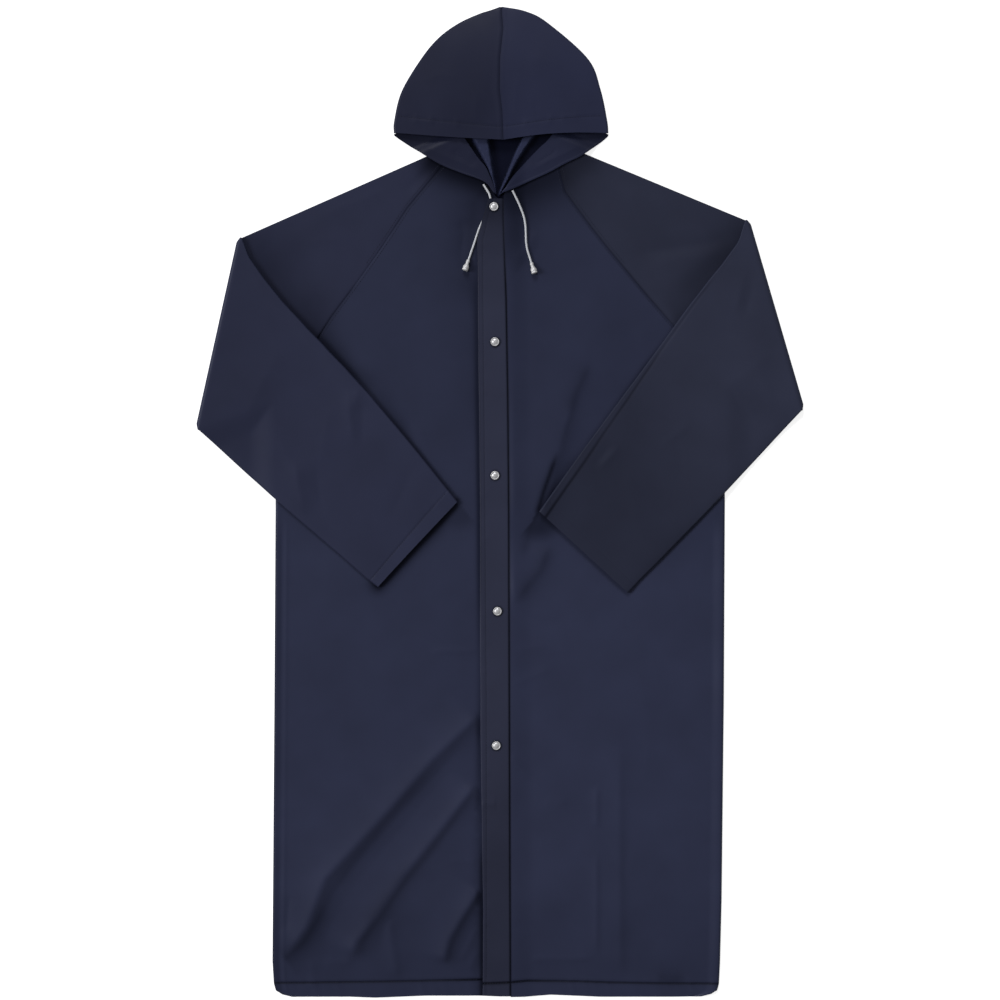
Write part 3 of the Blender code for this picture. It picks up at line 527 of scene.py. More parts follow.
def crowded(length, near_start, near_end, count, pull=1.7):
    """Shares from 0 to 1 of a length, closer together within near_start and near_end of its ends."""
    t = np.linspace(0.0, length, 3000)
    dense = 1.0 + pull * bell_curve(t, max(near_start, 1e-6))
    dense = dense + pull * bell_curve(length - t, max(near_end, 1e-6))
    total = np.concatenate([[0.0], np.cumsum((dense[1:] + dense[:-1]) / 2)])
    return np.interp(np.linspace(0.0, total[-1], count), total, t) / length


def placed(name, data, place=(0.0, 0.0, 0.0)):
    """A new object in the scene, at a place in metres."""
    made = bpy.data.objects.new(name, data)
    made.location = place
    bpy.context.scene.collection.objects.link(made)
    return made


def new_mesh(name, points, faces, finish, smooth_angle):
    """A smooth mesh from points in millimetres."""
    mesh = bpy.data.meshes.new(name)
    mesh.from_pydata((np.asarray(points, dtype=float) * MM).tolist(), [], faces)
    mesh.materials.append(finish)
    mesh.shade_smooth()
    mesh.set_sharp_from_angle(angle=math.radians(smooth_angle))
    return mesh


def mesh_piece(name, points, faces, finish, smooth_angle=50.0, flip=False, dark=None):
    """One object from points in millimetres that rides on the coat's only body.

    dark is the painted shade at each point, which the piece holds as its tone: 1 where the cloth is painted
    nearly black, as along a row of sewing, 0 where nothing is painted, and less where it is painted lighter.
    """
    if flip:
        faces = [tuple(reversed(face)) for face in faces]
    mesh = new_mesh(name, points, faces, finish, smooth_angle)
    tone = np.clip(1.0 - TONE_DEPTH * (np.zeros(len(points)) if dark is None else dark), *TONE_LIMITS)
    mesh.attributes.new("tone", "FLOAT", "POINT").data.foreach_set("value", tone)
    made = placed(name, mesh)
    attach(made, "root")
    return made


def stands_for(made, node):
    """Hides the solid that an object takes the place of."""
    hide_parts(node)
    return made


def grid_faces(rows, columns, round_=False):
    """Quads of a grid whose points are numbered row by row. round_ joins the last column to the first."""
    last = columns if round_ else columns - 1
    i, j = np.meshgrid(np.arange(rows - 1), np.arange(last), indexing="ij")
    k = (j + 1) % columns
    here, beyond = i * columns, (i + 1) * columns
    return np.stack([here + j, here + k, beyond + k, beyond + j], axis=-1).reshape(-1, 4)


def rod_faces(rows, around, first=0):
    """Faces of a closed rod whose points are numbered ring by ring from first."""
    faces = (grid_faces(rows, around, round_=True) + first).tolist()
    faces.append([first + k for k in range(around)][::-1])
    faces.append([first + (rows - 1) * around + k for k in range(around)])
    return faces


def closed_wall(name, outer, inner, faces, finish, dark=None):
    """Shell between an outer and an inner face of the same layout, closed along every free edge."""
    count = len(outer)
    faces = np.asarray(faces)
    edges = np.concatenate([faces[:, [k, (k + 1) % 4]] for k in range(4)])
    codes = edges[:, 0] * count + edges[:, 1]
    free = edges[~np.isin(codes, edges[:, 1] * count + edges[:, 0])]
    walls = np.stack([free[:, 1], free[:, 0], free[:, 0] + count, free[:, 1] + count], axis=-1)
    quads = np.concatenate([faces, faces[:, ::-1] + count, walls])
    points = np.vstack([outer, inner])
    a, b, c, d = (points[quads[:, k]] for k in range(4))
    volume = (a * (np.cross(b, c) + np.cross(c, d))).sum()
    if dark is not None:
        dark = np.tile(np.ravel(dark), 2)
    return mesh_piece(name, points, quads.tolist(), finish, flip=volume < 0, dark=dark)


def point_normals(points, faces):
    """Unit normal at each point, averaged over its quads."""
    normals = np.zeros_like(points)
    quads = np.asarray(faces)
    across = points[quads[:, 2]] - points[quads[:, 0]]
    along = points[quads[:, 3]] - points[quads[:, 1]]
    for corner in range(4):
        np.add.at(normals, quads[:, corner], np.cross(across, along))
    return unit(normals)


def outward(obj):
    """Turns every face of a closed mesh outwards."""
    work = bmesh.new()
    work.from_mesh(obj.data)
    bmesh.ops.recalc_face_normals(work, faces=work.faces)
    work.to_mesh(obj.data)
    work.free()


# ------------------------------------------------------------------ finishes


class Signal:
    """A number that varies over a surface. Arithmetic on it adds Math nodes."""

    def __init__(self, finish, socket):
        self.finish = finish
        self.socket = socket

    def math(self, operation, first, second=0.0):
        return self.finish.add("ShaderNodeMath", {"operation": operation}, {0: first, 1: second})

    def __add__(self, other):
        return self.math("ADD", self, other)

    def __sub__(self, other):
        return self.math("SUBTRACT", self, other)

    def __mul__(self, other):
        return self.math("MULTIPLY", self, other)

    def __radd__(self, other):
        return self.math("ADD", other, self)

    def __rsub__(self, other):
        return self.math("SUBTRACT", other, self)

    def __rmul__(self, other):
        return self.math("MULTIPLY", other, self)

    def sine(self):
        return self.math("SINE", self)

    def clamped(self):
        """The number, kept from 0 to 1."""
        return self.math("MINIMUM", self.math("MAXIMUM", self, 0.0), 1.0)


class Finish:
    """One material. add() makes a node, and shader() its Principled BSDF and output."""

    def __init__(self, name):
        self.material = bpy.data.materials.new(name)
        self.material.use_nodes = True
        self.tree = self.material.node_tree
        self.tree.nodes.clear()

    def add(self, kind, settings=None, inputs=None, output=0):
        """A node of a type, with its settings made first, then its sockets given values or links."""
        node = self.tree.nodes.new(kind)
        for key, value in (settings or {}).items():
            setattr(node, key, value)
        for key, value in (inputs or {}).items():
            if isinstance(value, Signal):
                self.tree.links.new(value.socket, node.inputs[key])
            else:
                node.inputs[key].default_value = value
        return Signal(self, node.outputs[output])

    def place(self, axis):
        """A coordinate of the surface in metres: 0 for x, 1 for y, 2 for z."""
        where = self.add("ShaderNodeTexCoord", output=3)
        return self.add("ShaderNodeSeparateXYZ", inputs={0: where}, output=axis)

    def facing_up(self):
        """1 where the surface faces up, 0 at its edges and -1 underneath."""
        normal = self.add("ShaderNodeNewGeometry", output=1)
        return self.add("ShaderNodeSeparateXYZ", inputs={0: normal}, output=2)

    def tone(self):
        """The painted shade that the piece's points hold as their tone: 1 where none is painted and near 0
        for the darkest.
        """
        return self.add("ShaderNodeAttribute", {"attribute_name": "tone"}, output=2)

    def times(self, colour, tone):
        """A colour darkened by the painted shade of a tone."""
        return self.add("ShaderNodeMix", {"data_type": "RGBA", "blend_type": "MULTIPLY"},
                        {0: 1.0, 6: colour, 7: tone}, output=2)

    def noise(self, size, detail=2.0):
        """Soft noise from 0 to 1 whose lumps are about size millimetres across."""
        where = self.add("ShaderNodeTexCoord", output=3)
        inputs = {"Vector": where, "Scale": 1.0 / (size * MM), "Detail": detail, "Roughness": 0.5}
        return self.add("ShaderNodeTexNoise", inputs=inputs)

    def mix(self, factor, first, second):
        """A colour between two."""
        return self.add("ShaderNodeMix", {"data_type": "RGBA"}, {0: factor, 6: first, 7: second}, output=2)

    def bump(self, height, distance, strength=1.0):
        """A normal from a height in shares of a distance in millimetres."""
        inputs = {"Height": height, "Distance": distance * MM, "Strength": strength}
        return self.add("ShaderNodeBump", inputs=inputs)

    def shader(self, **inputs):
        """Closes the material with a Principled BSDF. Names use _ for a blank."""
        named = {key.replace("_", " "): value for key, value in inputs.items()}
        surface = self.add("ShaderNodeBsdfPrincipled", inputs=named)
        output = self.tree.nodes.new("ShaderNodeOutputMaterial")
        self.tree.links.new(surface.socket, output.inputs["Surface"])
        return self.material


def rgba(colour, gain=1.0):
    """Four channels from three, made lighter or darker by a gain."""
    return (colour[0] * gain, colour[1] * gain, colour[2] * gain, 1.0)


BODY_NAVY = (0.0155, 0.0185, 0.0400)
# Lit and shaded copies of the body's navy: the sleeves, the hood's halves and the placket are the same cloth,
# each painted darker or greyer for the light that falls on it.
RIGHT_SLEEVE_SHADED_NAVY = (0.0131, 0.0153, 0.0336)
LEFT_SLEEVE_SHADED_NAVY = (0.0162, 0.0187, 0.0356)
RIGHT_HOOD_SHADED_NAVY = (0.0064, 0.0077, 0.0196)
LEFT_HOOD_SHADED_NAVY = (0.0114, 0.0136, 0.0325)
PLACKET_SHADED_NAVY = (0.0157, 0.0177, 0.0342)
# Painted shade: the near-black painted on the back's upward faces deep in the neck opening.
PAINTED_DEEP_SHADE_NAVY = (0.0022, 0.0028, 0.0085)
THREAD_NAVY = (0.0090, 0.0105, 0.0215)
WEAVE = 0.55  # spacing of the cloth's threads


def coated_cloth(name, colour, inside=None, gloss=0.2):
    """Dark coated cloth: a fine weave under a soft satin coating, a little uneven in colour and gloss.

    inside is a painted shade: a near-black colour painted on upward faces that lie deep in the coat, where
    the hood shades them, and it fades out as they rise.
    """
    finish = Finish(name)
    cloud = finish.noise(70.0, 3.0)
    grain = finish.noise(0.9, 2.0)
    threads = (finish.place(0) * (2 * math.pi / (WEAVE * MM))).sine() * (
        finish.place(1) * (2 * math.pi / (WEAVE * MM))).sine()
    shade = finish.mix(cloud * 0.9 + grain * 0.1, rgba(colour, 0.82), rgba(colour, 1.18))
    # Painted shade: upward faces lower than 3 mm are painted near black, fading out by 8 mm up.
    if inside:
        low = (1.0 - (finish.place(2) - 3.0 * MM) * (1.0 / (5.0 * MM))).clamped()
        shade = finish.mix(low * finish.facing_up().clamped(), shade, rgba(inside))
    # The tone is painted shade: it darkens the base colour and dims the coating's gloss.
    tone = finish.tone()
    normal = finish.bump(grain + threads * 0.25, 0.05, 0.35)
    return finish.shader(Base_Color=finish.times(shade, tone), Roughness=cloud * 0.08 + 0.46, Normal=normal,
                         Specular_IOR_Level=0.0, Coat_Weight=tone * gloss, Coat_Roughness=0.48)


def thread(name, colour):
    """Sewing thread with a fine twist."""
    finish = Finish(name)
    twist = finish.noise(0.5)
    return finish.shader(Base_Color=finish.mix(twist, rgba(colour, 0.8), rgba(colour, 1.2)),
                         Roughness=twist * 0.1 + 0.6, Specular_IOR_Level=0.1)


def snap_metal():
    """Light grey metal with fine scratches."""
    finish = Finish("snap_metal")
    scratch = finish.noise(0.4, 4.0)
    colour = finish.mix(scratch, rgba((0.28, 0.28, 0.29)), rgba((0.42, 0.42, 0.43)))
    return finish.shader(Base_Color=colour, Metallic=0.45, Roughness=scratch * 0.15 + 0.34,
                         Normal=finish.bump(scratch, 0.03, 0.3))


def cord_cotton():
    """Light grey cotton with fine fibres."""
    finish = Finish("cord_braid")
    fibre = finish.noise(0.25, 3.0)
    colour = finish.mix(fibre, rgba((0.24, 0.25, 0.27)), rgba((0.42, 0.43, 0.46)))
    return finish.shader(Base_Color=colour, Roughness=0.85, Normal=finish.bump(fibre, 0.08, 0.5))


def bell_plastic():
    """Silver grey moulded plastic."""
    finish = Finish("cord_bell")
    speck = finish.noise(0.6, 3.0)
    colour = finish.mix(speck, rgba((0.29, 0.29, 0.30)), rgba((0.42, 0.42, 0.43)))
    return finish.shader(Base_Color=colour, Metallic=0.2, Roughness=speck * 0.1 + 0.38)


def floor_white():
    """Plain pale floor with a glow of its own."""
    finish = Finish("floor")
    colour = finish.mix(finish.noise(30.0), rgba((0.40, 0.40, 0.40)), rgba((0.44, 0.44, 0.44)))
    return finish.shader(Base_Color=colour, Roughness=0.9, Specular_IOR_Level=0.1,
                         Emission_Color=(1.0, 1.0, 1.0, 1.0), Emission_Strength=0.75)


# ------------------------------------------------------------------ body

FRONT_STEP = 3.75  # spacing of the fronts' rows
UNDER_FLOOR = 1.4  # the fronts' inner faces stay above the back panel
SWELLS = ((0.22, 150.0, 2.0), (0.10, 55.0, 5.0))  # slow swells of the fronts: height, size, seed
SEWN_DEPTH, SEWN_RUN = 0.6, 1.5  # a row of sewing draws the cloth in
HEM_GATHERS = 0.55
SLOT_GATHERS, SLOT_GATHERS_LOW = 0.3, 1.2  # beside the placket, and how much more near the hem
SEAM_GATHERS, SEAM_RUN_AT_PLACKET = 0.35, 1.3  # beside the placket's seam
# The line along the placket's seam is painted shade.
PLACKET_LINE, PLACKET_LINE_FADE = 0.4, 0.45  # where its dark line lies, and how much it fades near the neck


def side_x(side, y):
    """The body's edge at each y: the side below the armpit and the raglan seam above it."""
    raglan = np.array(side.raglan)[::-1]
    low_y = BODY_SIDES[-1][0]
    low = column_at(BODY_SIDES, low_y, side.column)
    above = np.interp(y, np.concatenate([[low_y], raglan[:, 1]]), np.concatenate([[low], raglan[:, 0]]))
    return np.where(y <= low_y, column_at(BODY_SIDES, y, side.column), above)


def side_welt(side, x, y):
    """The low welt along the side seam, and on the right a tuck inside it."""
    inside = np.abs(column_at(BODY_SIDES, y, side.column)) - np.abs(x)
    height, inner, outer = WELT[side.sign]
    rise = height * smooth((inner - inside) / (inner - outer))
    if side.sign < 0:
        rise = rise + SIDE_TUCK * bell_curve(inside - SIDE_TUCK_AT, 2.6)
    uneven = 1.0 + 0.25 * ripple(x * 0.2, y, 130.0, 3.0 + side.sign)
    return rise * uneven * smooth((WELT_END - y) / WELT_FADE) * smooth((inside + 2.0) / 4.0)


def front_relief(side, x, y):
    """Creases and a slight swell that the shells of the fronts add to the solids' folds."""
    free, seam = placket_edges(y)
    clear = np.maximum(free - x, x - seam)
    swell = sum(height * ripple(x, y, size, seed) for height, size, seed in SWELLS)
    total = swell * smooth(clear / 12.0) + creased(x, y, CREASES, 0.2, 0.2) * smooth(clear / 4.0)
    # The turned hem is gathered a little by its sewing.
    gathers = HEM_GATHERS * puckers(x + 0.25 * y, 17.0, 1.0 + side.sign)
    band = smooth((HEM_LINE + 9.0 - y) / 9.0)
    total = total - (SEWN_DEPTH - 0.3 * gathers) * bell_curve(y - HEM_LINE, SEWN_RUN) + gathers * band
    if side.sign < 0:
        beside = free - x
        depth = SLOT_DEPTH * (1.0 - 0.5 * bell_curve(y + 240.0, 80.0))
        slot = depth * np.where(beside > 0, bell_curve(beside, column_at(SLOT_RUNS, y, 1)), 1.0)
        slot = slot * smooth((SLOT_TOP - y) / SLOT_TOP_RUN)
        gathers = puckers(y - 0.5 * beside, 15.0, 2.0) * bell_curve(beside - 3.0, 7.0)
        total = total - slot + gathers * (SLOT_GATHERS + SLOT_GATHERS_LOW * smooth((-340.0 - y) / 90.0))
        depth, run, *route = ARM_HOLLOW
        gap, _, along = beside_route(x, y, route)
        total = total - depth * bell_curve(gap, run) * within(along, 0.3, 0.75)
    return total + side_welt(side, x, y) - SEAM_DEPTH * raglan_line(x, y, side)


def front_face(side, x, y):
    """Height of the outer face of a front's shell, away from its side curl."""
    top = front_top(side, x, y) + front_relief(side, x, y)
    if side.sign > 0:
        beside = x - placket_edges(y)[1]
        gathers = SEAM_GATHERS * puckers(y + 0.6 * x, 19.0, 6.0) * bell_curve(beside - 5.0, 7.0)
        top = top - SEWN_DEPTH * bell_curve(beside, SEAM_RUN_AT_PLACKET) + gathers
    return top


def placket_line(beside, y):
    """How dark the painted shade along the placket's seam is."""
    return (1.0 - PLACKET_LINE_FADE * smooth((y - 300.0) / 90.0)) * bell_curve(beside - PLACKET_LINE, 1.5)


def front_dark(side, x, y):
    """How dark a front is painted: painted shade along its rows of sewing and in its depths, and a few wide
    places that are darker.
    """
    free, seam = placket_edges(y)
    # Painted shade along the hem's row of sewing, stronger near the placket, and on the left along the
    # placket's seam.
    at_placket = 0.35 * bell_curve(np.minimum(np.abs(x + 26.0), np.abs(x - 14.0)), 40.0)
    seam_sink_and_painted_shade = (0.8 + at_placket) * bell_curve(y - HEM_LINE, 1.8)
    if side.sign > 0:
        seam_sink_and_painted_shade = np.maximum(seam_sink_and_painted_shade, placket_line(x - seam, y))
    # The chest, the hem and the strip by the placket are a little darker, and below the neck there is painted
    # shade under the hood.
    tone = 0.17 * smooth((y + 120.0) / 120.0) + 0.11 * smooth((-540.0 - y) / 60.0)
    tone = tone + 0.08 * smooth((60.0 - x) / 120.0) * smooth((-60.0 - y) / 60.0)
    tone = tone + 0.2 * bell_curve(np.hypot(x + 10.0, y - 410.0), 70.0)
    if side.sign < 0:
        # On the right front, painted shadow beside the placket's free edge and painted shade along the side's
        # curl.
        inside = np.abs(column_at(BODY_SIDES, y, 1)) - np.abs(x)
        slot = 0.22 * (1.0 - bell_curve(y + 240.0, 90.0)) + 0.45 * smooth((-470.0 - y) / 60.0)
        tone = tone + slot * bell_curve(free - x, 4.0) * smooth((SLOT_TOP - y) / SLOT_TOP_RUN)
        tone = tone + 0.4 * smooth((7.0 - inside) / 6.0) * smooth((WELT_END - y) / WELT_FADE)
    return over(np.clip(seam_sink_and_painted_shade, 0, 1), painted_front_shade(side, x, y), tone)


def rows_of(*parts):
    """The y of each row of a mesh, from several lists."""
    return np.unique(np.round(np.concatenate(parts), 3))


def firsts(table):
    """The first number of each row of a table."""
    return [row[0] for row in table]


def near_hem(reach, count):
    """Closer rows at the hem's sewn line."""
    return HEM_LINE + np.linspace(-reach, reach, count)


def front(name, side, finish):
    """One front: rows from the centre to its side, curled down to the side seam."""
    top = side.raglan[0][1]
    armpit = side.raglan[-1][1]
    ys = rows_of(np.arange(HEM_EDGE, top, FRONT_STEP), near_hem(2.4, 9), firsts(BODY_SIDES[:3]),
                 [y for _, y in side.raglan], [armpit - 1.2, armpit - 0.8], firsts(side.neck), [top])
    edge = side_x(side, ys)
    seam = placket_edges(ys)[1]
    centre = seam - UNDERLAP if side.sign < 0 else seam + SEAM_GAP
    centre = np.where(ys > side.neck[0][0], column_at(side.neck, ys, 1), centre)
    curl = np.where(ys < armpit - 1.0, 1.0, 0.0)
    flat_end = edge - side.sign * SIDE_CURL * curl
    spread = crowded(310.0, 46.0 if side.sign < 0 else 6.0, 20.0, 108)
    x = centre[:, None] + (flat_end - centre)[:, None] * spread
    y = np.repeat(ys[:, None], x.shape[1], axis=1)
    z = np.maximum(front_face(side, x, y), UNDER_FLOOR + SHELL)
    turns = np.radians(np.linspace(0.0, 90.0, 8)[1:])
    down = z[:, -1:] - (z[:, -1:] - SIDE_FOOT) * curl[:, None] * (1 - np.cos(turns))
    out = flat_end[:, None] + side.sign * (SIDE_CURL * curl[:, None] * np.sin(turns)
                                           + (1 - curl[:, None]) * 0.2 * turns)
    edge_grid = np.stack([out, np.repeat(ys[:, None], len(turns), axis=1), down], axis=-1)
    grid = np.concatenate([np.stack([x, y, z], axis=-1), edge_grid], axis=1)
    # The front's painted shade, which it holds as its tone.
    seam_sink_and_painted_shade = front_dark(side, grid[:, :, 0], grid[:, :, 1])
    grid[:, :, 1] += hem_wave(grid[:, :, 0], grid[:, :, 1], HEM_LINES[side.sign])
    rows, columns = grid.shape[:2]
    outer = grid.reshape(-1, 3)
    faces = grid_faces(rows, columns)
    normals = point_normals(outer, faces)
    normals *= np.sign(normals[columns // 2, 2])
    inner = (outer - SHELL * normals).reshape(rows, columns, 3)
    inner[:, 0, 0] = grid[:, 0, 0]
    inner[:, :, 1] = grid[:, :, 1]
    inner[:, :, 2] = np.maximum(inner[:, :, 2], UNDER_FLOOR)
    low = curl > 0
    inner[low, -1, 2] = grid[low, -1, 2]
    return stands_for(closed_wall(name + "_cloth", outer, inner.reshape(-1, 3), faces, finish, seam_sink_and_painted_shade), name)


# The neck facing shows as two raised strips in the neck opening: y, left edge, right edge.
NECK_FACING = (
    ((436.0, -6.0, -4.5), (452.0, -8.5, -6.0), (464.0, -12.0, -8.5), (478.0, -17.5, -11.0),
     (492.0, -24.5, -13.0), (505.0, -31.0, -15.0), (516.0, -36.5, -16.5), (532.0, -42.0, -18.5)),
    ((436.0, -4.0, -0.5), (448.0, 1.0, 5.0), (461.0, 7.0, 12.0), (475.0, 12.5, 18.0), (490.0, 18.5, 26.0),
     (504.0, 24.5, 35.0), (516.0, 30.5, 43.0), (532.0, 38.0, 54.0)),
)
FACING_RISE, FACING_EDGE = 8.2, 2.2  # how high its strips stand, and the width of their sides
# The back's edge along the neck: y, x.
BACK_NECK = {
    -1: ((516.0, -54.0), (529.8, -57.0), (539.0, 0.5)),
    1: ((517.0, 74.0), (530.3, 77.5), (539.0, 2.5)),
}


def neck_facing(x, y):
    """Height of the neck facing above the back panel."""
    rise = np.zeros(np.shape(x))
    for table in NECK_FACING:
        inside = np.minimum(x - column_at(table, y, 1), column_at(table, y, 2) - x)
        rise = np.maximum(rise, FACING_RISE * smooth(inside / FACING_EDGE + 0.5))
    return rise * smooth((y - 436.0) / 8.0) * smooth((540.0 - y) / 8.0)


def back_edge(side, ys):
    """x of the back's edge: the side, then the raglan seam, then the neck."""
    edge = side_x(side, ys) - side.sign * SEAM_GAP
    edge = np.where(ys <= side.raglan[-1][1], column_at(BODY_SIDES, ys, side.column), edge)
    neck = BACK_NECK[side.sign]
    return np.where(ys > neck[0][0], column_at(neck, ys, 1), edge)


def back_panel(finish):
    """The back: flat on the floor but for soft creases, with the neck facing inside the neck opening."""
    ys = rows_of(np.arange(HEM_EDGE, 424.0, 12.0), np.arange(424.0, 529.0, 2.0), firsts(BODY_SIDES[:3]),
                 near_hem(1.6, 5), [y for _, y in RAGLAN_RIGHT + RAGLAN_LEFT], np.linspace(529.8, 539.0, 5))
    right, left = back_edge(RIGHT, ys), back_edge(LEFT, ys)
    # The columns stand closest in the middle, where the neck facing is.
    columns = 97
    spread = np.linspace(-1.0, 1.0, columns)
    spread = 0.5 + 0.3 * spread + 0.2 * spread ** 3
    x = right[:, None] + (left - right)[:, None] * spread
    y = np.repeat(ys[:, None], columns, axis=1)
    inside = np.minimum(x - right[:, None], left[:, None] - x)
    lift = creased(x, y, BACK_CREASES, 0.25, 0.25) * smooth((inside - 10.0) / 30.0)
    lift = lift + 0.4 * bell_curve(y - HEM_LINE, 1.3)
    lift = lift + 0.3 * (raglan_line(x, y, RIGHT) + raglan_line(x, y, LEFT))
    y_waved = y + hem_wave(x, y, HEM_LINES[-1])
    lower = np.stack([x, y_waved, lift], axis=-1).reshape(-1, 3)
    upper = np.stack([x, y_waved, lift + CLOTH + neck_facing(x, y)], axis=-1).reshape(-1, 3)
    made = closed_wall("back_panel_cloth", upper, lower, grid_faces(len(ys), columns), finish)
    return stands_for(made, "back_panel")


PLACKET_SEWING = 6.6  # the placket's row of sewing lies this far inside its free edge
# The free edge wanders to and fro: y, how far to the left side.
PLACKET_WANDER = ((-708.0, 2.2), (-584.0, 3.0), (-480.0, 1.6), (-330.0, -0.4), (-210.0, -0.6), (-100.0, 0.5),
                  (0.0, 1.0), (320.0, 0.9), (400.0, 0.0))
PLACKET_TUCK = (0.8, 3.0, 5.0, ((-27, -432), (-16, -432.5), (-4, -431.5)))
SNAP_SHADE, SNAP_SHADE_AT = 0.55, 6.4  # each snap's shadow on the cloth round it


def placket_face(x, y):
    """Height of the placket's outer face."""
    free, seam = placket_edges(y)
    across = x - free
    soft = 0.18 * ripple(x, y, 60.0, 9.0) + ridge(x, y, *PLACKET_TUCK, 0.15, 0.2)
    gathers = puckers(y, 21.0, 5.0) * bell_curve(across - PLACKET_SEWING, 5.0)
    edge = 0.15 * bell_curve(across - 1.8, 1.8)
    sunk = 0.25 * bell_curve(across - PLACKET_SEWING, 1.1)
    sunk = sunk + SEWN_DEPTH * bell_curve(seam - x, SEAM_RUN_AT_PLACKET)
    hem = SEWN_DEPTH * bell_curve(y - HEM_LINE, SEWN_RUN)
    hem = hem - 0.3 * puckers(x, 13.0, 2.0) * smooth((HEM_LINE + 6.0 - y) / 6.0)
    return placket_top(x, y) + soft + 0.35 * gathers + edge - sunk - hem


def placket(finish):
    """The double strip down the front: rounded free edge, two layers, and a hem fold at its foot."""
    low, high = PLACKET[0][0], PLACKET[-1][0]
    ys = rows_of(np.arange(low, high, 3.0), near_hem(2.4, 9), [high])
    straight, seam = placket_edges(ys)
    spread = crowded(40.0, 4.0, 3.0, 33)
    free = straight + column_at(PLACKET_WANDER, ys, 1) + 0.25 * ripple(0.0 * ys, ys, 70.0, 4.0)
    x = free[:, None] + (seam - free)[:, None] * spread
    y = np.repeat(ys[:, None], len(spread), axis=1)
    top = np.stack([x, y, placket_face(x, y)], axis=-1)
    bottom = np.stack([x, y, placket_top(x, y) - PLACKET_CLOTH], axis=-1)
    middle, half = (top[:, 0] + bottom[:, 0]) / 2, (top[:, 0, 2] - bottom[:, 0, 2]) / 2
    edges = []
    for turn in np.radians((30.0, 60.0, 90.0, 120.0, 150.0)):
        edges.append(np.stack([middle[:, 0] - half * 0.9 * math.sin(turn), middle[:, 1],
                               middle[:, 2] - half * math.cos(turn)], axis=-1))
    ring = np.concatenate([bottom[:, ::-1], np.stack(edges, axis=1), top], axis=1)
    dark = placket_dark(ring[:, :, 0], ring[:, :, 1], *(edge[:, None] for edge in (straight, free, seam)))
    ring[:, :, 1] += hem_wave(ring[:, :, 0], ring[:, :, 1], HEM_LINES[1])
    faces = rod_faces(*ring.shape[:2])
    made = mesh_piece("placket_cloth", ring.reshape(-1, 3), faces, finish, dark=dark.ravel())
    outward(made)
    return stands_for(made, "placket")


def placket_dark(x, y, straight, free, seam):
    """Painted shade on the placket: along its seam, hem and sewing, round its snaps, along its free edge, and
    at its ends.
    """
    seam_sink_and_painted_shade = np.maximum(bell_curve(y - HEM_LINE, 2.0), placket_line(x - seam, y))
    seam_sink_and_painted_shade = np.maximum(seam_sink_and_painted_shade, 0.08 * bell_curve(x - straight - PLACKET_SEWING, 1.6))
    for snap_x, snap_y in SNAPS:
        away = np.hypot(x - snap_x, y - snap_y)
        seam_sink_and_painted_shade = np.maximum(seam_sink_and_painted_shade, SNAP_SHADE * bell_curve(away - SNAP_SHADE_AT, 1.5))
    # Painted shade on the rounded free edge, above its lower part.
    seam_sink_and_painted_shade = np.maximum(seam_sink_and_painted_shade, 0.26 * smooth((1.8 - x + free) / 1.6) * smooth((y + 190.0) / 90.0))
    # It is darker towards its foot, and towards its top there is painted shade under the hood.
    tone = 0.2 * smooth((-300.0 - y) / 220.0) + 0.12 * smooth((y - 270.0) / 70.0)
    return over(seam_sink_and_painted_shade, tone + 0.45 * smooth((y - 372.0) / 50.0))


# ------------------------------------------------------------------ sleeves

# Creases of the folded arms, of the shoulders above them and of the shoulders' undersides.
ARM_CREASES = {
    -1: (
        (1.7, 15.0, 9.0, ((-216, 168), (-214, 118), (-206, 72))),
        (-1.0, 12.0, 12.0, ((-196, 150), (-198, 112), (-196, 78))),
        (1.6, 15.0, 12.0, ((-293, 66), (-288, 24), (-276, -22))),
        (-0.9, 12.0, 14.0, ((-264, 60), (-260, 22), (-254, -20))),
        (1.0, 22.0, 26.0, ((-300, 240), (-340, 170), (-372, 100))),
        (0.8, 16.0, 20.0, ((-240, 150), (-250, 96), (-256, 40))),
        (-1.2, 10.0, 13.0, ((-380, 318), (-397, 240), (-410, 160))),
        (-0.7, 10.0, 16.0, ((-120, 60), (-138, 20), (-160, -30))),
        (0.7, 14.0, 12.0, ((-330, 120), (-300, 60), (-262, 10))),
        (0.9, 6.0, 7.0, ((-196, 168), (-206, 150), (-210, 128))),
        (0.5, 20.0, 22.0, ((-362, 330), (-330, 290), (-300, 262))),
    ),
    1: (
        (-1.9, 12.0, 14.0, ((366, 342), (359, 302), (348, 258))),
        (1.0, 9.0, 9.0, ((352, 338), (344, 300), (334, 262))),
        (1.0, 24.0, 22.0, ((330, 250), (368, 190), (392, 130))),
        (1.2, 6.0, 6.5, ((172, 82), (156, 64), (140, 45))),
        (-0.7, 7.0, 7.0, ((160, 84), (146, 66), (132, 48))),
        (-0.8, 20.0, 16.0, ((250, 110), (258, 60), (262, 10))),
        (0.7, 16.0, 20.0, ((180, 60), (190, 10), (200, -40))),
        (0.6, 8.0, 7.0, ((276, 118), (252, 96), (226, 78))),
        (0.7, 18.0, 16.0, ((396, 226), (352, 180), (300, 150))),
    ),
}
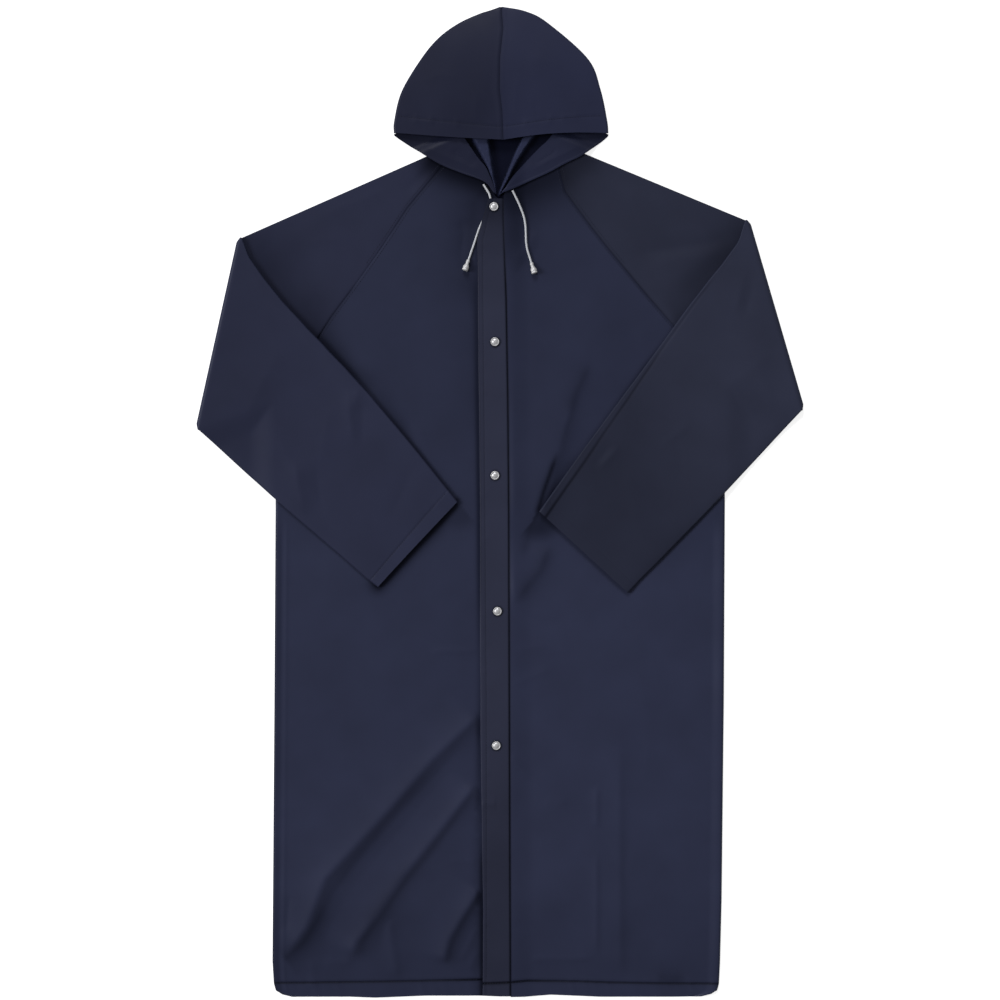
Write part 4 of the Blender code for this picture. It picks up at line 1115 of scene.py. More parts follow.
ROOT_CREASES = {
    -1: (
        (-1.0, 26.0, 30.0, ((-356, 372), (-318, 330), (-270, 290))),
        (0.8, 18.0, 18.0, ((-330, 384), (-270, 372), (-200, 380))),
        (-0.8, 14.0, 12.0, ((-96, 490), (-118, 462), (-142, 436))),
        (0.6, 14.0, 16.0, ((-150, 450), (-214, 428), (-280, 400))),
    ),
    1: (
        (-1.5, 11.0, 14.0, ((351, 386), (300, 372), (240, 362), (179, 353))),
        (0.8, 10.0, 12.0, ((340, 366), (280, 350), (200, 338))),
        (0.9, 16.0, 16.0, ((330, 372), (270, 330), (230, 300))),
        (-1.1, 12.0, 12.0, ((330, 362), (292, 322), (262, 286))),
        (0.6, 14.0, 14.0, ((110, 470), (180, 440), (260, 424))),
    ),
}
UNDER_CREASES = {
    -1: ((1.3, 12.0, 18.0, ((-130, 470), (-190, 400), (-230, 330))),
         (1.1, 16.0, 12.0, ((-330, 360), (-290, 300), (-300, 230)))),
    1: ((1.2, 18.0, 12.0, ((120, 480), (180, 410), (240, 350))),
        (1.0, 12.0, 16.0, ((330, 380), (300, 320), (330, 240)))),
}
# The strip beside the left sleeve's upper edge, from which the upper layer draws back.
# Share of the sleeve's length, the strip's width, how dark the painted shade in the line along it is.
STRIP = (
    (0.0, 5.0, 0.0), (0.16, 5.0, 0.0), (0.2, 5.6, 0.3), (0.3, 7.2, 0.16), (0.4, 7.4, 0.16), (0.5, 8.2, 0.5),
    (0.6, 10.6, 0.5), (0.7, 11.6, 0.45), (0.8, 13.4, 0.6), (0.9, 12.8, 0.7), (1.0, 12.8, 0.8),
)
STRIP_STEP = 0.3  # the strip is this much lower
STRIP_LINE = 0.45  # depth of the line along it
LOW_THIN = 2.0  # the arms are thinner along their lower edges
CUFF_SEWING = 20.0  # the row of sewing lies this far inside the cuff
CUFF_REACH = 1.2  # the right cuff reaches this much further
ARM_EDGE_PUFF = 2.4  # the right sleeve's upper edge stands up by the underarm hollow


class Sleeve:
    """Places on one folded sleeve. share runs from its upper edge to its lower one."""

    def __init__(self, side):
        self.side = side
        self.raglan = np.array(side.raglan) + (side.sign * SEAM_GAP * 1.6, 0.0)
        self.breaks = lengths_along(self.raglan)
        shoulder, elbow = np.array(side.shoulder, float), np.array(side.elbow, float)
        self.width = np.linalg.norm(elbow - shoulder)
        self.across = (elbow - shoulder) / self.width
        out = np.array((-self.across[1], self.across[0]))
        self.out = out * np.sign(out[0]) * side.sign
        self.high, self.low = np.array(side.cuff_high, float), np.array(side.cuff_low, float)
        up, down = self.raglan[0] - shoulder, self.low - elbow
        self.shoulder = shoulder - up * BEND_AXIS / np.dot(up, self.out)
        self.elbow = elbow - down * BEND_AXIS / np.dot(down, self.out)
        self.width = np.linalg.norm(self.elbow - self.shoulder)
        self.length = np.linalg.norm(self.high - self.shoulder)
        self.hem = 1.0 - CUFF_SEWING / self.length

    def root_xy(self, shares, step):
        """Where the part between the armhole and the fold lies."""
        even = np.linspace(0, 1, len(self.breaks))
        start = through(self.raglan, np.interp(shares, even, self.breaks / self.breaks[-1]), straight=True)
        end = self.shoulder + (self.elbow - self.shoulder) * shares[:, None]
        return start + (end - start) * step

    def root_face(self, x, y, shares, step):
        """Height of that part's upper face."""
        side = self.side
        relief = 0.25 * ripple(x, y, 90.0, 3.0 + side.sign) + creased(x, y, ROOT_CREASES[side.sign])
        edge = np.clip(np.sin(np.pi * np.clip(shares, 0.0, 1.0)) * 3, 0, 1)
        relief = relief * within(step, 0.1, 0.15) * edge
        return front_top(side, x, y) + relief - SEAM_DEPTH * raglan_line(x, y, side) * edge

    def arm_width(self, step):
        """Width of the flat tube between the fold and the cuff."""
        return self.width + (np.linalg.norm(self.low - self.high) - self.width) * step

    def arm_xy(self, shares, step):
        """Where the part between the fold and the cuff lies."""
        start = self.shoulder + (self.elbow - self.shoulder) * shares[:, None]
        end = self.high + (self.low - self.high) * shares[:, None]
        xy = start + (end - start) * step
        sign = self.side.sign
        dip = at_share(ARM_DIP[sign], step) / EDGE_LEAN * (1.0 - shares[:, None]) ** 3
        return xy + self.across * (dip + at_share(ARM_BOW[sign], step) * shares[:, None] ** 3)

    def arm_floor(self, x, y):
        """Height of that part's lower face."""
        return support(self.side, x, y) + LAYER_GAP

    def arm_face(self, x, y, shares, step):
        """Height of that part's upper face."""
        side, beside = self.side, shares * self.arm_width(step)
        inner = np.clip(shares, 0.0, 1.0)
        puff = SLEEVE_PUFF * np.sin(np.pi * inner) * math.sin(math.pi * min(step, self.hem))
        relief = creased(x, y, ARM_CREASES[side.sign], 0.35, 0.35)
        relief = 0.25 * ripple(x, y, 110.0, 7.0 + side.sign) + relief
        relief = relief * within(step, 0.12, 0.1) * np.clip(np.sin(np.pi * inner) * 5, 0, 1)
        thin = LOW_THIN * np.exp(-(1.0 - inner) * self.arm_width(step) / 8.0)
        relief = relief - thin * smooth(step / 0.15)
        past_hem = (step - self.hem) * self.length
        near_cuff = smooth(past_hem / 1.6 + 0.5)
        if side.sign > 0:
            start = smooth((step - 0.16) / 0.1)
            strip = at_share(STRIP, step)
            step_down = STRIP_STEP * smooth((strip + 0.8 - beside) / 1.6)
            relief = relief - (step_down + STRIP_LINE * bell_curve(beside - strip, 1.8)) * start
            relief = relief + 0.3 * near_cuff
        else:
            relief = relief + ARM_EDGE_PUFF * bell_curve(step - 0.36, 0.22) * bell_curve(beside, 22.0)
            gathers = puckers(beside, 15.0, 4.0) * bell_curve(past_hem, 8.0)
            relief = relief + 0.25 * near_cuff - 0.25 * bell_curve(past_hem, 1.5) + 0.35 * gathers
        return self.arm_floor(x, y) + COAT_TOP + puff + relief

    def arm_dark(self, shares, step):
        """Painted shade on that part: along its rows of sewing, and in wide places where less light falls."""
        inner = np.clip(shares, 0.0, 1.0)
        past_hem, beside = (step - self.hem) * self.length, shares * self.arm_width(step)
        if self.side.sign < 0:
            # On the right arm: painted shade near the fold and along the cuff's row of sewing, and past that
            # row a painted highlight on the raised band.
            clear = smooth((inner - 0.1) / 0.15)
            hem = 0.1 * bell_curve(past_hem, 2.6) - 0.10 * smooth(past_hem / 3.0)
            return 0.13 * (1.0 - smooth((step - 0.2) / 0.3)) + hem * clear
        # On the left arm: painted shade in the line along the strip and along the upper edge, and it is
        # darker towards the upper edge and towards the cuff.
        line = at_share(STRIP, step, 2) * bell_curve(beside - at_share(STRIP, step), 2.2)
        line = np.maximum(line, 0.16 * bell_curve(beside, 4.0))
        tone = 0.27 * smooth((step - 0.3) / 0.5) * (1.0 - 0.35 * bell_curve(beside, 10.0))
        return over(line, 0.10 * (1.0 - inner) + tone)


ROOT_DARK = {-1: 0.07, 1: 0.2}  # how dark each sleeve is between the armhole and the fold
FOLD_DARK = 0.1


def tube_section(width, inset, count):
    """Shares of the width and of the height for the points round a flattened tube, or its inner face."""
    edge = TUBE_EDGE / width
    narrow = inset / width
    run = np.clip(crowded(width, 16.0, 8.0, count), edge, 1.0 - edge)
    turns = np.radians(np.linspace(90.0, -90.0, 9)[1:-1])
    end_shares = 1.0 - edge + (edge - narrow) * np.cos(turns)
    end_heights = 0.5 + 0.5 * np.sin(turns)
    shares = np.concatenate([run, end_shares, run[::-1], 1.0 - end_shares[::-1]])
    heights = np.concatenate([np.ones(count), end_heights, np.zeros(count), end_heights[::-1]])
    return shares, heights


def sleeve(name, side, finish):
    """One tube of cloth: out from the armhole, folded over, and back across the front to the cuff."""
    count = 78
    place = Sleeve(side)
    near_seam = np.array((0.0, 0.7, 1.4, 2.2, 3.2, 4.6, 6.4)) / 250.0
    faces_of = {}
    seam_sink_and_painted_shade = []
    for inset in (0.0, SHELL):
        shares, heights = tube_section(place.breaks[-1], inset, count)
        rings, seam_sink_and_painted_shade = [], []
        for step in np.concatenate([near_seam, np.linspace(9.0 / 250.0, 1.0, 44)]):
            x, y = place.root_xy(shares, step).T
            top = place.root_face(x, y, shares, step) - inset
            under = creased(x, y, UNDER_CREASES[side.sign]) * within(step, 0.15, 0.2) + inset
            rings.append(np.stack([x, y, under + (top - under) * heights], axis=-1))
            # Painted shade on the root: an even darkening, and the front's painted shade and shadows reach
            # onto its upper face.
            seam_sink_and_painted_shade.append(over(ROOT_DARK[side.sign], painted_front_shade(side, x, y) * heights))
        base = rings[-1]
        corners = (place.shoulder, place.elbow)
        beside = np.minimum(*(np.hypot(*(base[:, :2] - corner).T) for corner in corners))
        reach = (BEND_AXIS - base[:, 2]) * (1.0 - CORNER_CUT * (1.0 - smooth(beside / CORNER_RUN)))
        for turn in np.radians(np.linspace(0.0, 180.0, 15)[1:]):
            xy = base[:, :2] + place.out * (reach * math.sin(turn))[:, None]
            rings.append(np.column_stack([xy, BEND_AXIS - (BEND_AXIS - base[:, 2]) * math.cos(turn)]))
            seam_sink_and_painted_shade.append(np.full(len(base), FOLD_DARK))
        last = 1.0 + (CUFF_REACH / place.length if side.sign < 0 else 0.0)
        hem_steps = place.hem + np.linspace(-3.0, 3.0, 9) / place.length
        for step in np.unique(np.concatenate([np.linspace(0.0, last, 112)[1:], hem_steps])):
            shares, heights = tube_section(place.arm_width(step), inset, count)
            x, y = place.arm_xy(shares, step).T
            lower, upper = place.arm_floor(x, y) + inset, place.arm_face(x, y, shares, step) - inset
            rings.append(np.stack([x, y, upper + (lower - upper) * heights], axis=-1))
            seam_sink_and_painted_shade.append(place.arm_dark(shares, step))
        faces_of[inset] = np.array(rings)
    outer, inner = faces_of[0.0], faces_of[SHELL]
    faces = grid_faces(len(outer), outer.shape[1], round_=True)
    outer, inner = outer.reshape(-1, 3), inner.reshape(-1, 3)
    return stands_for(closed_wall(name + "_cloth", outer, inner, faces, finish, np.array(seam_sink_and_painted_shade)), name)


# ------------------------------------------------------------------ hood

HOOD_CREASES = {
    # height, widths, route, over the top layer
    -1: (
        (-0.6, 8.0, 10.0, ((-6, 540), (-10, 575), (-14, 620))),
        (0.5, 10.0, 12.0, ((-34, 538), (-36, 560), (-30, 590))),
        (0.45, 4.0, 4.0, ((-132, 546), (-112, 544), (-90, 542))),
        (0.5, 16.0, 16.0, ((-120, 600), (-86, 610), (-50, 604))),
    ),
    1: (
        (0.5, 8.0, 10.0, ((16, 540), (22, 575), (30, 620))),
        (-0.5, 10.0, 12.0, ((50, 536), (52, 556), (50, 580))),
        (0.5, 4.0, 4.0, ((30, 541), (44, 543), (58, 544))),
        (0.5, 3.5, 3.5, ((84, 549), (98, 549.5), (112, 549))),
        (0.5, 16.0, 14.0, ((40, 640), (76, 626), (110, 596))),
    ),
}
CASING = 18.6  # height of the rim's casing
# Painted shade on the lapels, under the hood's rim.
LAPEL_DARK = {-1: 0.0, 1: 0.2}  # how dark each lapel is, away from its tip
CENTRE_BEND = ((517.0, 3.0), (554.0, 1.6), (590.0, -2.4), (633.0, -1.8), (676.0, 2.8), (709.0, 0.0))
LAPEL_CREASES = {
    -1: (
        (0.7, 5.0, 8.0, ((-120, 515), (-86, 497), (-56, 485), (-26, 468))),
        (-0.8, 5.0, 6.0, ((-70, 505), (-50, 492), (-34, 478))),
        (0.8, 4.0, 4.0, ((-62, 521), (-46, 505), (-33, 487))),
    ),
    1: (
        (0.6, 8.0, 5.0, ((124, 514), (96, 500), (68, 487), (38, 470))),
        (-0.8, 6.0, 5.0, ((84, 506), (64, 495), (44, 482))),
    ),
}


def lapel_floor(side, x, y):
    """Underside of the hood's lower front: from the floor up over the shoulder onto the coat."""
    depth = depth_inside(side, side.raglan[0], side.shoulder, x, y)
    climb = smooth((depth + SHOULDER_CLEAR + SHOULDER_RAMP) / SHOULDER_RAMP)
    return climb * (front_top(side, x, y) + LAYER_GAP)


TOP_POINTS, EDGE_POINTS, FLOOR_POINTS = 104, 11, 50
HOOD_ROWS, LAPEL_ROWS = 122, 92
TOP_SPREAD = crowded(150.0, 7.0, 1.0, TOP_POINTS)


def above_casing(v):
    """How far a row of the hood lies above the casing's sewn line."""
    return (1.0 - v) * (CROWN_Y - RIM_Y) - CASING


def hood_row(side, v):
    """Points of one row, from the centre seam over the top, round the folded outline and back beneath."""
    sign = side.sign
    seam_x = SEAM_X + sign * SEAM_GAP / 2
    count = TOP_POINTS + EDGE_POINTS + FLOOR_POINTS
    if v == 0.0:
        a = np.radians(np.linspace(90.0, -90.0, count))
        return np.stack([np.full(count, seam_x), CROWN_Y - HOOD_EDGE + HOOD_EDGE * np.cos(a),
                         HOOD_EDGE + HOOD_EDGE * np.sin(a)], axis=-1)
    fold = through(HOOD_OUTLINE[sign], v)
    top_start = np.array((seam_x, CROWN_Y - HOOD_EDGE + (RIM_Y - CROWN_Y + HOOD_EDGE) * v))
    neck_from = np.array((seam_x, BACK_SEAM_END))
    if v <= BACK_SHARE:
        share = v / BACK_SHARE
        floor_end = np.array((seam_x, CROWN_Y - HOOD_EDGE + (BACK_SEAM_END - CROWN_Y + HOOD_EDGE) * share))
    else:
        neck_to = np.array(LAPEL_NECK[sign][0])
        floor_end = neck_from + (neck_to - neck_from) * (v - BACK_SHARE) / (1 - BACK_SHARE)
    rise = math.sin(min(1.0, v / 0.6) * math.pi / 2) * (1.0 - 0.2 * smooth((v - 0.6) / 0.4))
    inward = (top_start - fold) / np.linalg.norm(top_start - fold)
    edge_start = fold + inward * min(HOOD_EDGE, 0.5 * np.linalg.norm(top_start - fold))
    shares = TOP_SPREAD
    xy = top_start + (edge_start - top_start) * shares[:, None]
    xy[:, 1] += RIM_BOW[sign] * v**4 * np.sin(np.pi * shares)
    x, y = xy[:, 0], xy[:, 1]
    swell = HOOD_DOME * rise * np.sin((1.0 - shares) * np.pi / 2)
    relief = 0.3 * ripple(x, y, 70.0, 4.0) + creased(x, y, HOOD_CREASES[sign], 0.25, 0.4)
    relief = relief * np.sin(np.pi * shares) ** 0.5 * smooth(v / 0.2)
    # The casing along the rim is two layers, with a sewn line above it.
    above = above_casing(v)
    gathers = puckers(x, 19.0, 3.0) * bell_curve(above, 5.0)
    casing = 0.15 * smooth(-above / 2.0) - 0.25 * bell_curve(above, 1.6) + 0.45 * gathers
    seam = 0.2 * bell_curve(np.abs(x - SEAM_X) - 4.0, 3.0) - 0.1 * bell_curve(x - SEAM_X, 1.8)
    edge_fade = np.clip((1 - shares) * 12, 0, 1)
    # The centre seam wanders to one side as it runs up to the crown.
    xy[:, 0] += column_at(CENTRE_BEND, y, 1) * bell_curve(x - SEAM_X, 45.0) * smooth((1 - shares) * 4)
    top = np.column_stack([xy, 2 * HOOD_EDGE + swell + relief + (casing + seam) * edge_fade])
    a = np.radians(90.0 - 180.0 * (np.arange(EDGE_POINTS) + 1) / (EDGE_POINTS + 1))
    side_xy = edge_start + (fold - edge_start) * np.cos(a)[:, None]
    edge = np.column_stack([side_xy, HOOD_EDGE + HOOD_EDGE * np.sin(a)])
    floor_xy = edge_start + (floor_end - edge_start) * np.linspace(0.0, 1.0, FLOOR_POINTS)[:, None]
    floor = np.column_stack([floor_xy, np.zeros(FLOOR_POINTS)])
    return np.vstack([top, edge, floor])


def lapel_row(side, v):
    """Points of one row of the hood's lower front, from its free rim to the neck seam."""
    rim = through(LAPEL_RIM[side.sign], v)
    neck = through(LAPEL_NECK[side.sign], v)
    shares = np.linspace(0.0, 1.0, FLOOR_POINTS)
    xy = rim + (neck - rim) * shares[:, None]
    x, y = xy[:, 0], xy[:, 1]
    # The lapel sinks towards its seam at the neck: this is height, with no painted shade.
    seam_sink_and_painted_shade = 0.4 * smooth((shares - 0.7) / 0.3) * smooth(v / 0.3)
    relief = np.maximum(creased(x, y, LAPEL_CREASES[side.sign]), -0.2) * within(v, 0.1, 0.1)
    relief = relief + 0.35 * bell_curve(shares * np.linalg.norm(neck - rim) - 2.0, 2.0) * smooth(v / 0.1)
    return np.column_stack([xy, np.maximum(lapel_floor(side, x, y) - seam_sink_and_painted_shade + relief, 0.0)])


def hood_half(name, side, finish):
    """One half of the hood, with the lapel that runs down to the centre front, as one shell."""
    rows = np.array([hood_row(side, v) for v in np.linspace(0.0, 1.0, HOOD_ROWS + 1)])
    columns = rows.shape[1]
    outer = rows.reshape(-1, 3)
    faces = grid_faces(len(rows), columns)
    lapel = np.array([lapel_row(side, v) for v in np.linspace(0.0, 1.0, LAPEL_ROWS + 1)[1:]])
    first = len(outer)
    before = HOOD_ROWS * columns + columns - FLOOR_POINTS + np.arange(FLOOR_POINTS)
    more = []
    for i in range(LAPEL_ROWS):
        current = first + i * FLOOR_POINTS + np.arange(FLOOR_POINTS)
        more.append(np.stack([before[:-1], before[1:], current[1:], current[:-1]], axis=-1))
        before = current
    faces = np.concatenate([faces] + more)
    outer = np.vstack([outer, lapel.reshape(-1, 3)])
    normals = point_normals(outer, faces)
    normals *= np.sign(normals[5 * columns + 2, 2])
    first_points = np.arange(len(rows)) * columns
    last_points = first_points + columns - 1
    on_seam = np.zeros(len(outer), bool)
    on_seam[first_points] = True
    on_seam[last_points[: int(BACK_SHARE * HOOD_ROWS) + 1]] = True
    on_seam[:columns] = True
    normals[on_seam, 0] = 0.0
    normals = unit(normals)
    # Painted shade on the hood: along its centre seam and its casing, one half darker and the other lighter
    # beside the seam as painted light, and on each lapel towards its outer tip under the rim.
    seam_sink_and_painted_shade = np.zeros(len(outer))
    vs = np.linspace(0.0, 1.0, HOOD_ROWS + 1)
    top = (np.arange(len(rows))[:, None] * columns + np.arange(TOP_POINTS)).ravel()
    beside = (rows[:, :TOP_POINTS, 0] - rows[:, :1, 0]) * side.sign
    casing = 0.06 * bell_curve(above_casing(vs), 2.0)[:, None]
    seam_side = side.sign * 0.1 * bell_curve(beside, 34.0)
    seam_sink_and_painted_shade[top] = (np.maximum(0.2 * bell_curve(beside, 2.8), casing) + seam_side).ravel()
    tip = LAPEL_RIM[side.sign][0]
    away = np.hypot(lapel[:, :, 0] - tip[0], lapel[:, :, 1] - tip[1])
    seam_sink_and_painted_shade[first:] = (LAPEL_DARK[side.sign] + 0.42 * bell_curve(away, 48.0)).ravel()
    return stands_for(closed_wall(name + "_cloth", outer, outer - CLOTH * normals, faces, finish, seam_sink_and_painted_shade), name)


# ------------------------------------------------------------------ sewing

TAPE, TAPE_THICK = 9.0, 0.4  # the tape that covers each raglan seam and the hood's seam from inside
TAPE_CREST = 0.025  # half width of its crest, as a share of its own


def seam_tape(name, middle, finish, rise):
    """A thin tape under a seam, whose narrow crest fills the gap. middle runs along its upper face."""
    heading = unit(np.gradient(middle[:, :2], axis=0))
    beside = np.column_stack([-heading[:, 1], heading[:, 0], np.zeros(len(middle))]) * TAPE / 2
    crest, near = middle + (0.0, 0.0, rise), beside * TAPE_CREST
    outer = np.stack([middle - beside, middle - near, crest, middle + near, middle + beside], axis=1)
    outer = outer.reshape(-1, 3)
    made = closed_wall(name, outer, outer - (0.0, 0.0, TAPE_THICK), grid_faces(len(middle), 5), finish)
    return made


def seam_tapes(finish):
    """Tapes inside the raglan seams and inside the hood's centre seam."""
    for name, side in (("right", RIGHT), ("left", LEFT)):
        route = through(side.raglan, np.linspace(0.015, 0.985, 160), straight=True)
        route = route + (side.sign * SEAM_GAP * 0.8, 0.0)
        seam_tape(f"raglan_tape_{name}", np.column_stack([route, np.full(len(route), 3.1)]), finish, 1.7)
    rows = np.array([hood_row(LEFT, v)[0] for v in np.linspace(0.03, 0.985, 90)])
    rows[:, 0] -= SEAM_GAP / 2
    rows[:, 2] -= CLOTH + 0.5
    seam_tape("hood_seam_tape", rows, finish, CLOTH + 0.25)


STITCH, STITCH_PITCH, STITCH_RADIUS = 3.0, 3.8, 0.32


def stitches(name, routes, finish):
    """Rows of sewing thread: each stitch is a short strand that arches over the cloth."""
    sides, arch = 6, np.array((-0.30, 0.10, 0.22, 0.10, -0.30))
    girth = np.array((0.5, 1.0, 1.0, 1.0, 0.5)) * STITCH_RADIUS
    turns = 2 * np.pi * np.arange(sides) / sides
    points, faces = [], []
    for route in routes:
        length = lengths_along(route)
        for start in np.arange(1.0, length[-1] - STITCH, STITCH_PITCH):
            at = start + STITCH * np.linspace(0.0, 1.0, len(arch))
            line = np.stack([np.interp(at, length, route[:, k]) for k in range(3)], axis=-1)
            line[:, 2] += arch
            along = (line[-1] - line[0]) / np.linalg.norm(line[-1] - line[0])
            across = np.cross(along, (0.0, 0.0, 1.0))
            across /= np.linalg.norm(across)
            lift = np.cross(across, along)
            first = len(points)
            for middle, radius in zip(line, girth):
                for turn in turns:
                    points.append(middle + radius * (across * math.cos(turn) + lift * math.sin(turn)))
            faces += rod_faces(len(arch), sides, first)
    made = mesh_piece(name, np.array(points), faces, finish, smooth_angle=80.0)
    outward(made)
    return made


def on_front(side, x, y):
    """A row of points on a front's shell."""
    x, y = np.asarray(x, float) + 0.0 * np.asarray(y), np.asarray(y, float) + 0.0 * np.asarray(x)
    return np.column_stack([x, y + hem_wave(x, y, HEM_LINES[side.sign]), front_face(side, x, y)])


def sewing(finish):
    """Rows of sewing: hems, placket, raglan seams, the right cuff and the hood's casing."""
    hem = []
    for side in (RIGHT, LEFT):
        start = column_at(PLACKET, HEM_LINE, 1 if side.sign < 0 else 2) + side.sign * 1.5
        end = column_at(BODY_SIDES, HEM_LINE, side.column) - side.sign * 5.0
        hem.append(on_front(side, np.linspace(start, end, 160), HEM_LINE))
    xs = np.linspace(-24.0, 13.0, 20)
    ys = np.full(20, HEM_LINE)
    hem.append(np.column_stack([xs, ys + hem_wave(xs, ys, HEM_LINES[1]), placket_face(xs, ys)]))
    stitches("hem_stitches", hem, finish)
    ys = np.linspace(-680.0, 396.0, 420)
    xs = column_at(PLACKET, ys, 1) + PLACKET_SEWING
    rows = [np.column_stack([xs, ys, placket_face(xs, ys)])]
    stitches("placket_stitches", rows, finish)
    for name, side in (("right", RIGHT), ("left", LEFT)):
        rows = []
        for along, beside in (((0.02, 0.93), -3.2), ((0.06, 0.5), 4.8)):
            route = through(side.raglan, np.linspace(*along, 200), straight=True)
            heading = unit(np.gradient(route, axis=0))
            out = np.column_stack([-heading[:, 1], heading[:, 0]])
            out *= np.sign(out[:, :1]) * side.sign
            xy = route + out * beside
            z = front_top(side, xy[:, 0], xy[:, 1]) - SEAM_DEPTH * raglan_line(xy[:, 0], xy[:, 1], side)
            if beside < 0:
                z = front_face(side, xy[:, 0], xy[:, 1])
            rows.append(np.column_stack([xy, z]))
        stitches(f"raglan_stitches_{name}", rows, finish)
    place = Sleeve(RIGHT)
    shares = np.linspace(0.03, 0.97, 90)
    x, y = place.arm_xy(shares, place.hem).T
    row = np.column_stack([x, y, place.arm_face(x, y, shares, place.hem)])
    stitches("cuff_stitches_right", [row], finish)
    rows = []
    for side in (RIGHT, LEFT):
        row = hood_row(side, 1.0 - CASING / (CROWN_Y - RIM_Y))[:TOP_POINTS]
        rows.append(row[6:-3] if side.sign > 0 else row[6:-3][::-1])
    stitches("hood_stitches", rows, finish)


# ------------------------------------------------------------------ snaps and drawstring


def turned(name, profile, finish, sides=40):
    """A solid of revolution about Z. The profile runs from the axis at the bottom to the axis at the top."""
    points = [(0.0, 0.0, profile[0][1])]
    rings = profile[1:-1]
    for radius, z in rings:
        for i in range(sides):
            a = 2 * math.pi * i / sides
            points.append((radius * math.cos(a), radius * math.sin(a), z))
    points.append((0.0, 0.0, profile[-1][1]))
    faces = []
    for i in range(sides):
        k = (i + 1) % sides
        faces.append((0, 1 + k, 1 + i))
        last = 1 + (len(rings) - 1) * sides
        faces.append((len(points) - 1, last + i, last + k))
        for ring in range(len(rings) - 1):
            low = 1 + ring * sides
            faces.append((low + i, low + k, low + sides + k, low + sides + i))
    return placed(name, new_mesh(name, points, faces, finish, 60.0))


def snap(number, x, y, finish):
    """Snap cap: a rolled rim round a shallow dish with a low dome in it."""
    r, h = 6.2, 2.6
    profile = [(0, 0), (r * 0.86, 0), (r * 0.96, 0.35)]
    for step in np.linspace(0.0, 1.0, 7):
        a = math.radians(-20.0 + 200.0 * step)
        profile.append((r * 0.87 + r * 0.13 * math.cos(a), 1.25 + 0.75 * math.sin(a)))
    profile += [(r * 0.70, 1.35), (r * 0.62, 1.5), (r * 0.5, 2.0), (r * 0.34, 2.38), (r * 0.16, h - 0.05)]
    profile.append((0, h))
    cap = turned(f"snap_cap_{number}", profile, finish)
    cap.location = (x * MM, y * MM, (float(placket_top(x, y)) + SEAM_GAP) * MM)
    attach(cap, "root")
    return stands_for(cap, f"snap_{number}")


def cord_floor(name, x, y):
    """What a drawstring end lies on at points of its route."""
    return front_top(LEFT if name == "cord_left" else RIGHT, x, y)


def frames_along(path):
    """Unit side and lift at each point of a path."""
    tangent = unit(np.gradient(path, axis=0))
    side = unit(np.cross(tangent, (0.0, 0.0, 1.0)))
    return side, np.cross(side, tangent)


def cord(name, finish):
    """One free end of the drawstring: a round braid of crossing strands."""
    count, around = 260, 20
    route = through(CORD_ROUTES[name], np.linspace(0.0, 1.0, count))
    z = cord_floor(name, route[:, 0], route[:, 1]) + CORD_AIR + CORD_RADIUS
    path = np.column_stack([route, z])
    side, lift = frames_along(path)
    length = lengths_along(path)
    turns = 2 * np.pi * np.arange(around) / around
    pitch, strands = 6.0, 5
    twist = 2 * np.pi * length[:, None] / pitch
    braid = np.maximum(np.sin(strands * turns + twist), np.sin(strands * turns - twist))
    radius = CORD_RADIUS * (0.93 + 0.07 * braid)
    points = (path[:, None, :] + side[:, None, :] * (radius * np.cos(turns))[..., None]
              + lift[:, None, :] * (radius * np.sin(turns))[..., None]).reshape(-1, 3)
    faces = grid_faces(count, around, round_=True).tolist()
    faces.append(list(range(around)))
    faces.append([(count - 1) * around + k for k in range(around)])
    made = mesh_piece(name + "_braid", points, faces, finish, smooth_angle=80.0)
    outward(made)
    return stands_for(made, name), path, length[-1]


def bell(name, cord_name, finish):
    """Bell-shaped cord end, lying on the coat in line with the end of its cord."""
    neck, mouth, length = BELL_NECK, BELL_MOUTH, BELL_LENGTH
    profile = [(0, 0), (neck - 0.6, 0), (neck - 0.15, 0.15), (neck, 0.6), (neck, length * 0.24),
               (neck - 0.25, length * 0.27), (neck - 0.25, length * 0.31), (neck, length * 0.34)]
    for step in np.linspace(0.0, 1.0, 8):
        profile.append((neck + (mouth - 0.1 - neck) * float(smooth(step)), length * (0.36 + 0.3 * step)))
    profile += [(mouth, length * 0.72), (mouth, length * 0.80), (mouth - 0.25, length * 0.82),
                (mouth - 0.25, length * 0.85), (mouth, length * 0.87), (mouth, length - 0.7),
                (mouth - 0.3, length - 0.2), (mouth - 0.8, length), (0, length)]
    made = turned(name + "_bell", profile, finish)
    route = through(CORD_ROUTES[cord_name], np.linspace(0.0, 1.0, 25))
    (x0, y0), (x1, y1) = route[-2], route[-1]
    along = Vector((x1 - x0, y1 - y0, 0.0)).normalized()
    start_z = float(cord_floor(cord_name, x1, y1)) + SEAM_GAP + neck
    end_x, end_y = x1 + along.x * length, y1 + along.y * length
    end_z = float(cord_floor(cord_name, end_x, end_y)) + SEAM_GAP + mouth + 0.5
    direction = Vector((along.x * length, along.y * length, end_z - start_z)).normalized()
    made.rotation_mode = "QUATERNION"
    made.rotation_quaternion = direction.to_track_quat("Z", "Y")
    made.location = (Vector((x1, y1, start_z)) + direction * SEAM_GAP) * MM
    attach(made, "root")
    return stands_for(made, name)


# ------------------------------------------------------------------ the whole coat


def camera():
    """Straight above the coat, with a little under 3 mm between its middle and the frame's."""
    data = bpy.data.cameras.new("camera")
    data.lens = 100.0
    data.sensor_width = 36.0
    width = 1.432
    place = (0.0, 0.0029, width * data.lens / data.sensor_width)
    bpy.context.scene.camera = placed("camera", data, place)


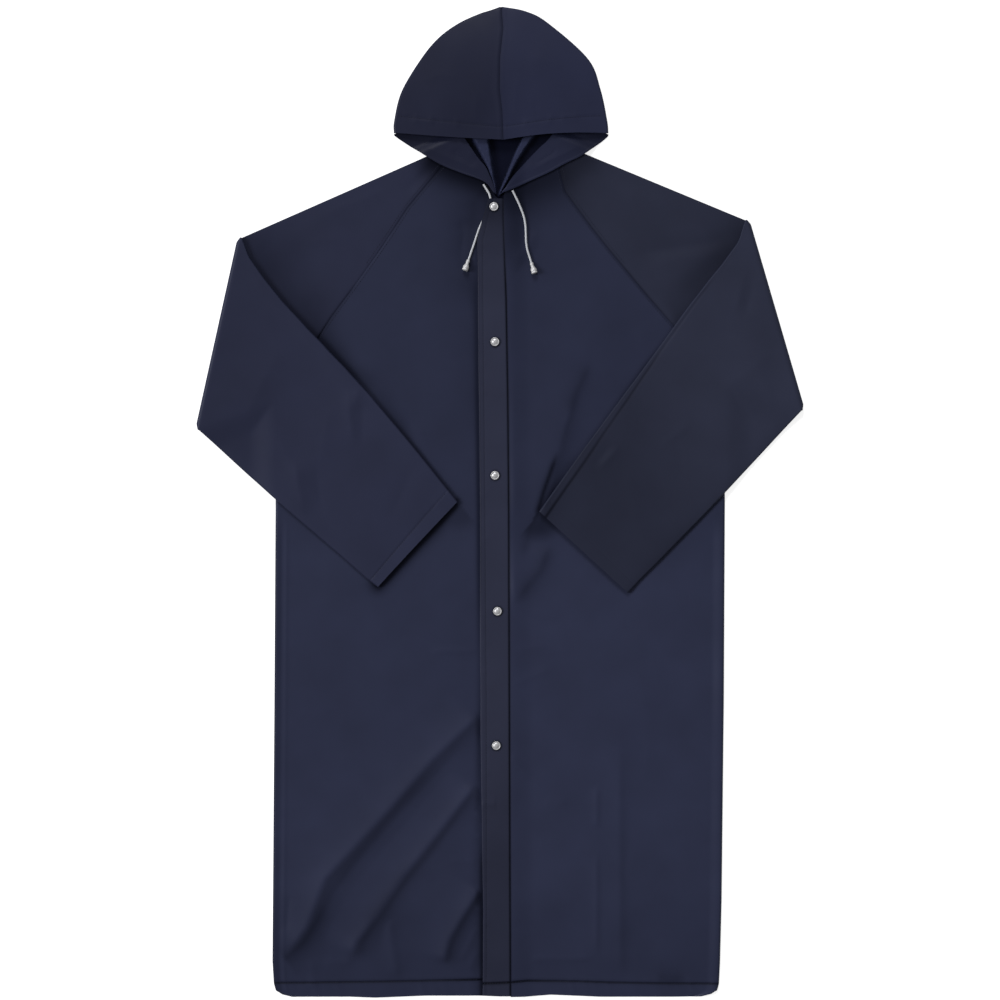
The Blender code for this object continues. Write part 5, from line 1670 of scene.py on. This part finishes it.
def area_light(name, place, size, power):
    """A round soft light that shines at the coat's middle."""
    data = bpy.data.lights.new(name, "AREA")
    data.shape = "DISK"
    data.size = size
    data.energy = power
    made = placed(name, data, place)
    made.rotation_mode = "QUATERNION"
    made.rotation_quaternion = (-Vector(place)).to_track_quat("-Z", "Y")


def studio():
    """Pale floor, one soft light from the left and one from above the hood, and an even glow all round."""
    mesh = bpy.data.meshes.new("floor")
    reach, depth = 24.0, -0.0004
    corners = [(reach * i, reach * j, depth) for i, j in ((-1, -1), (1, -1), (1, 1), (-1, 1))]
    mesh.from_pydata(corners, [], [(0, 1, 2, 3)])
    mesh.materials.append(floor_white())
    placed("floor", mesh)
    world = bpy.data.worlds.new("studio")
    bpy.context.scene.world = world
    world.use_nodes = True
    glow = world.node_tree.nodes["Background"].inputs
    glow["Color"].default_value = (1.0, 1.0, 1.0, 1.0)
    glow["Strength"].default_value = 0.45
    area_light("left_light", (-8.4, 0.9, 5.7), 3.9, 945.0)
    area_light("top_light", (-1.5, 8.4, 6.3), 3.9, 765.0)
    bpy.context.scene.view_settings.view_transform = "Standard"


def main():
    """Builds the coat, its drawstring, snaps and sewing, and the studio round it."""
    camera()
    cotton, plastic, metal = cord_cotton(), bell_plastic(), snap_metal()
    for name in CORD_ROUTES:
        made, path, length = cord(name, cotton)
        end = bell(name.replace("cord", "cord_end"), name, plastic)
        points = [tuple(float(v) for v in point * MM) for point in (*path[::4], path[-1])]
    studio()
    body_cloth = coated_cloth("body_cloth", BODY_NAVY)
    right_hood = coated_cloth("right_hood_cloth", RIGHT_HOOD_SHADED_NAVY)
    left_hood = coated_cloth("left_hood_cloth", LEFT_HOOD_SHADED_NAVY)
    # The back is painted near black where it lies deep in the neck opening, as painted shade under the hood.
    back = back_panel(coated_cloth("back_cloth", BODY_NAVY, PAINTED_DEEP_SHADE_NAVY, gloss=0.06))
    right = front("front_right", RIGHT, body_cloth)
    left = front("front_left", LEFT, body_cloth)
    strip = placket(coated_cloth("placket_cloth", PLACKET_SHADED_NAVY))
    sleeve_r = sleeve("sleeve_right", RIGHT, coated_cloth("right_sleeve_cloth", RIGHT_SLEEVE_SHADED_NAVY))
    sleeve_l = sleeve("sleeve_left", LEFT, coated_cloth("left_sleeve_cloth", LEFT_SLEEVE_SHADED_NAVY))
    hood_r = hood_half("hood_right", RIGHT, right_hood)
    hood_l = hood_half("hood_left", LEFT, left_hood)
    for number, (x, y) in enumerate(SNAPS, start=1):
        snap(number, x, y, metal)
    seam_tapes(right_hood)
    sewing(thread("sewing_thread", THREAD_NAVY))


main()
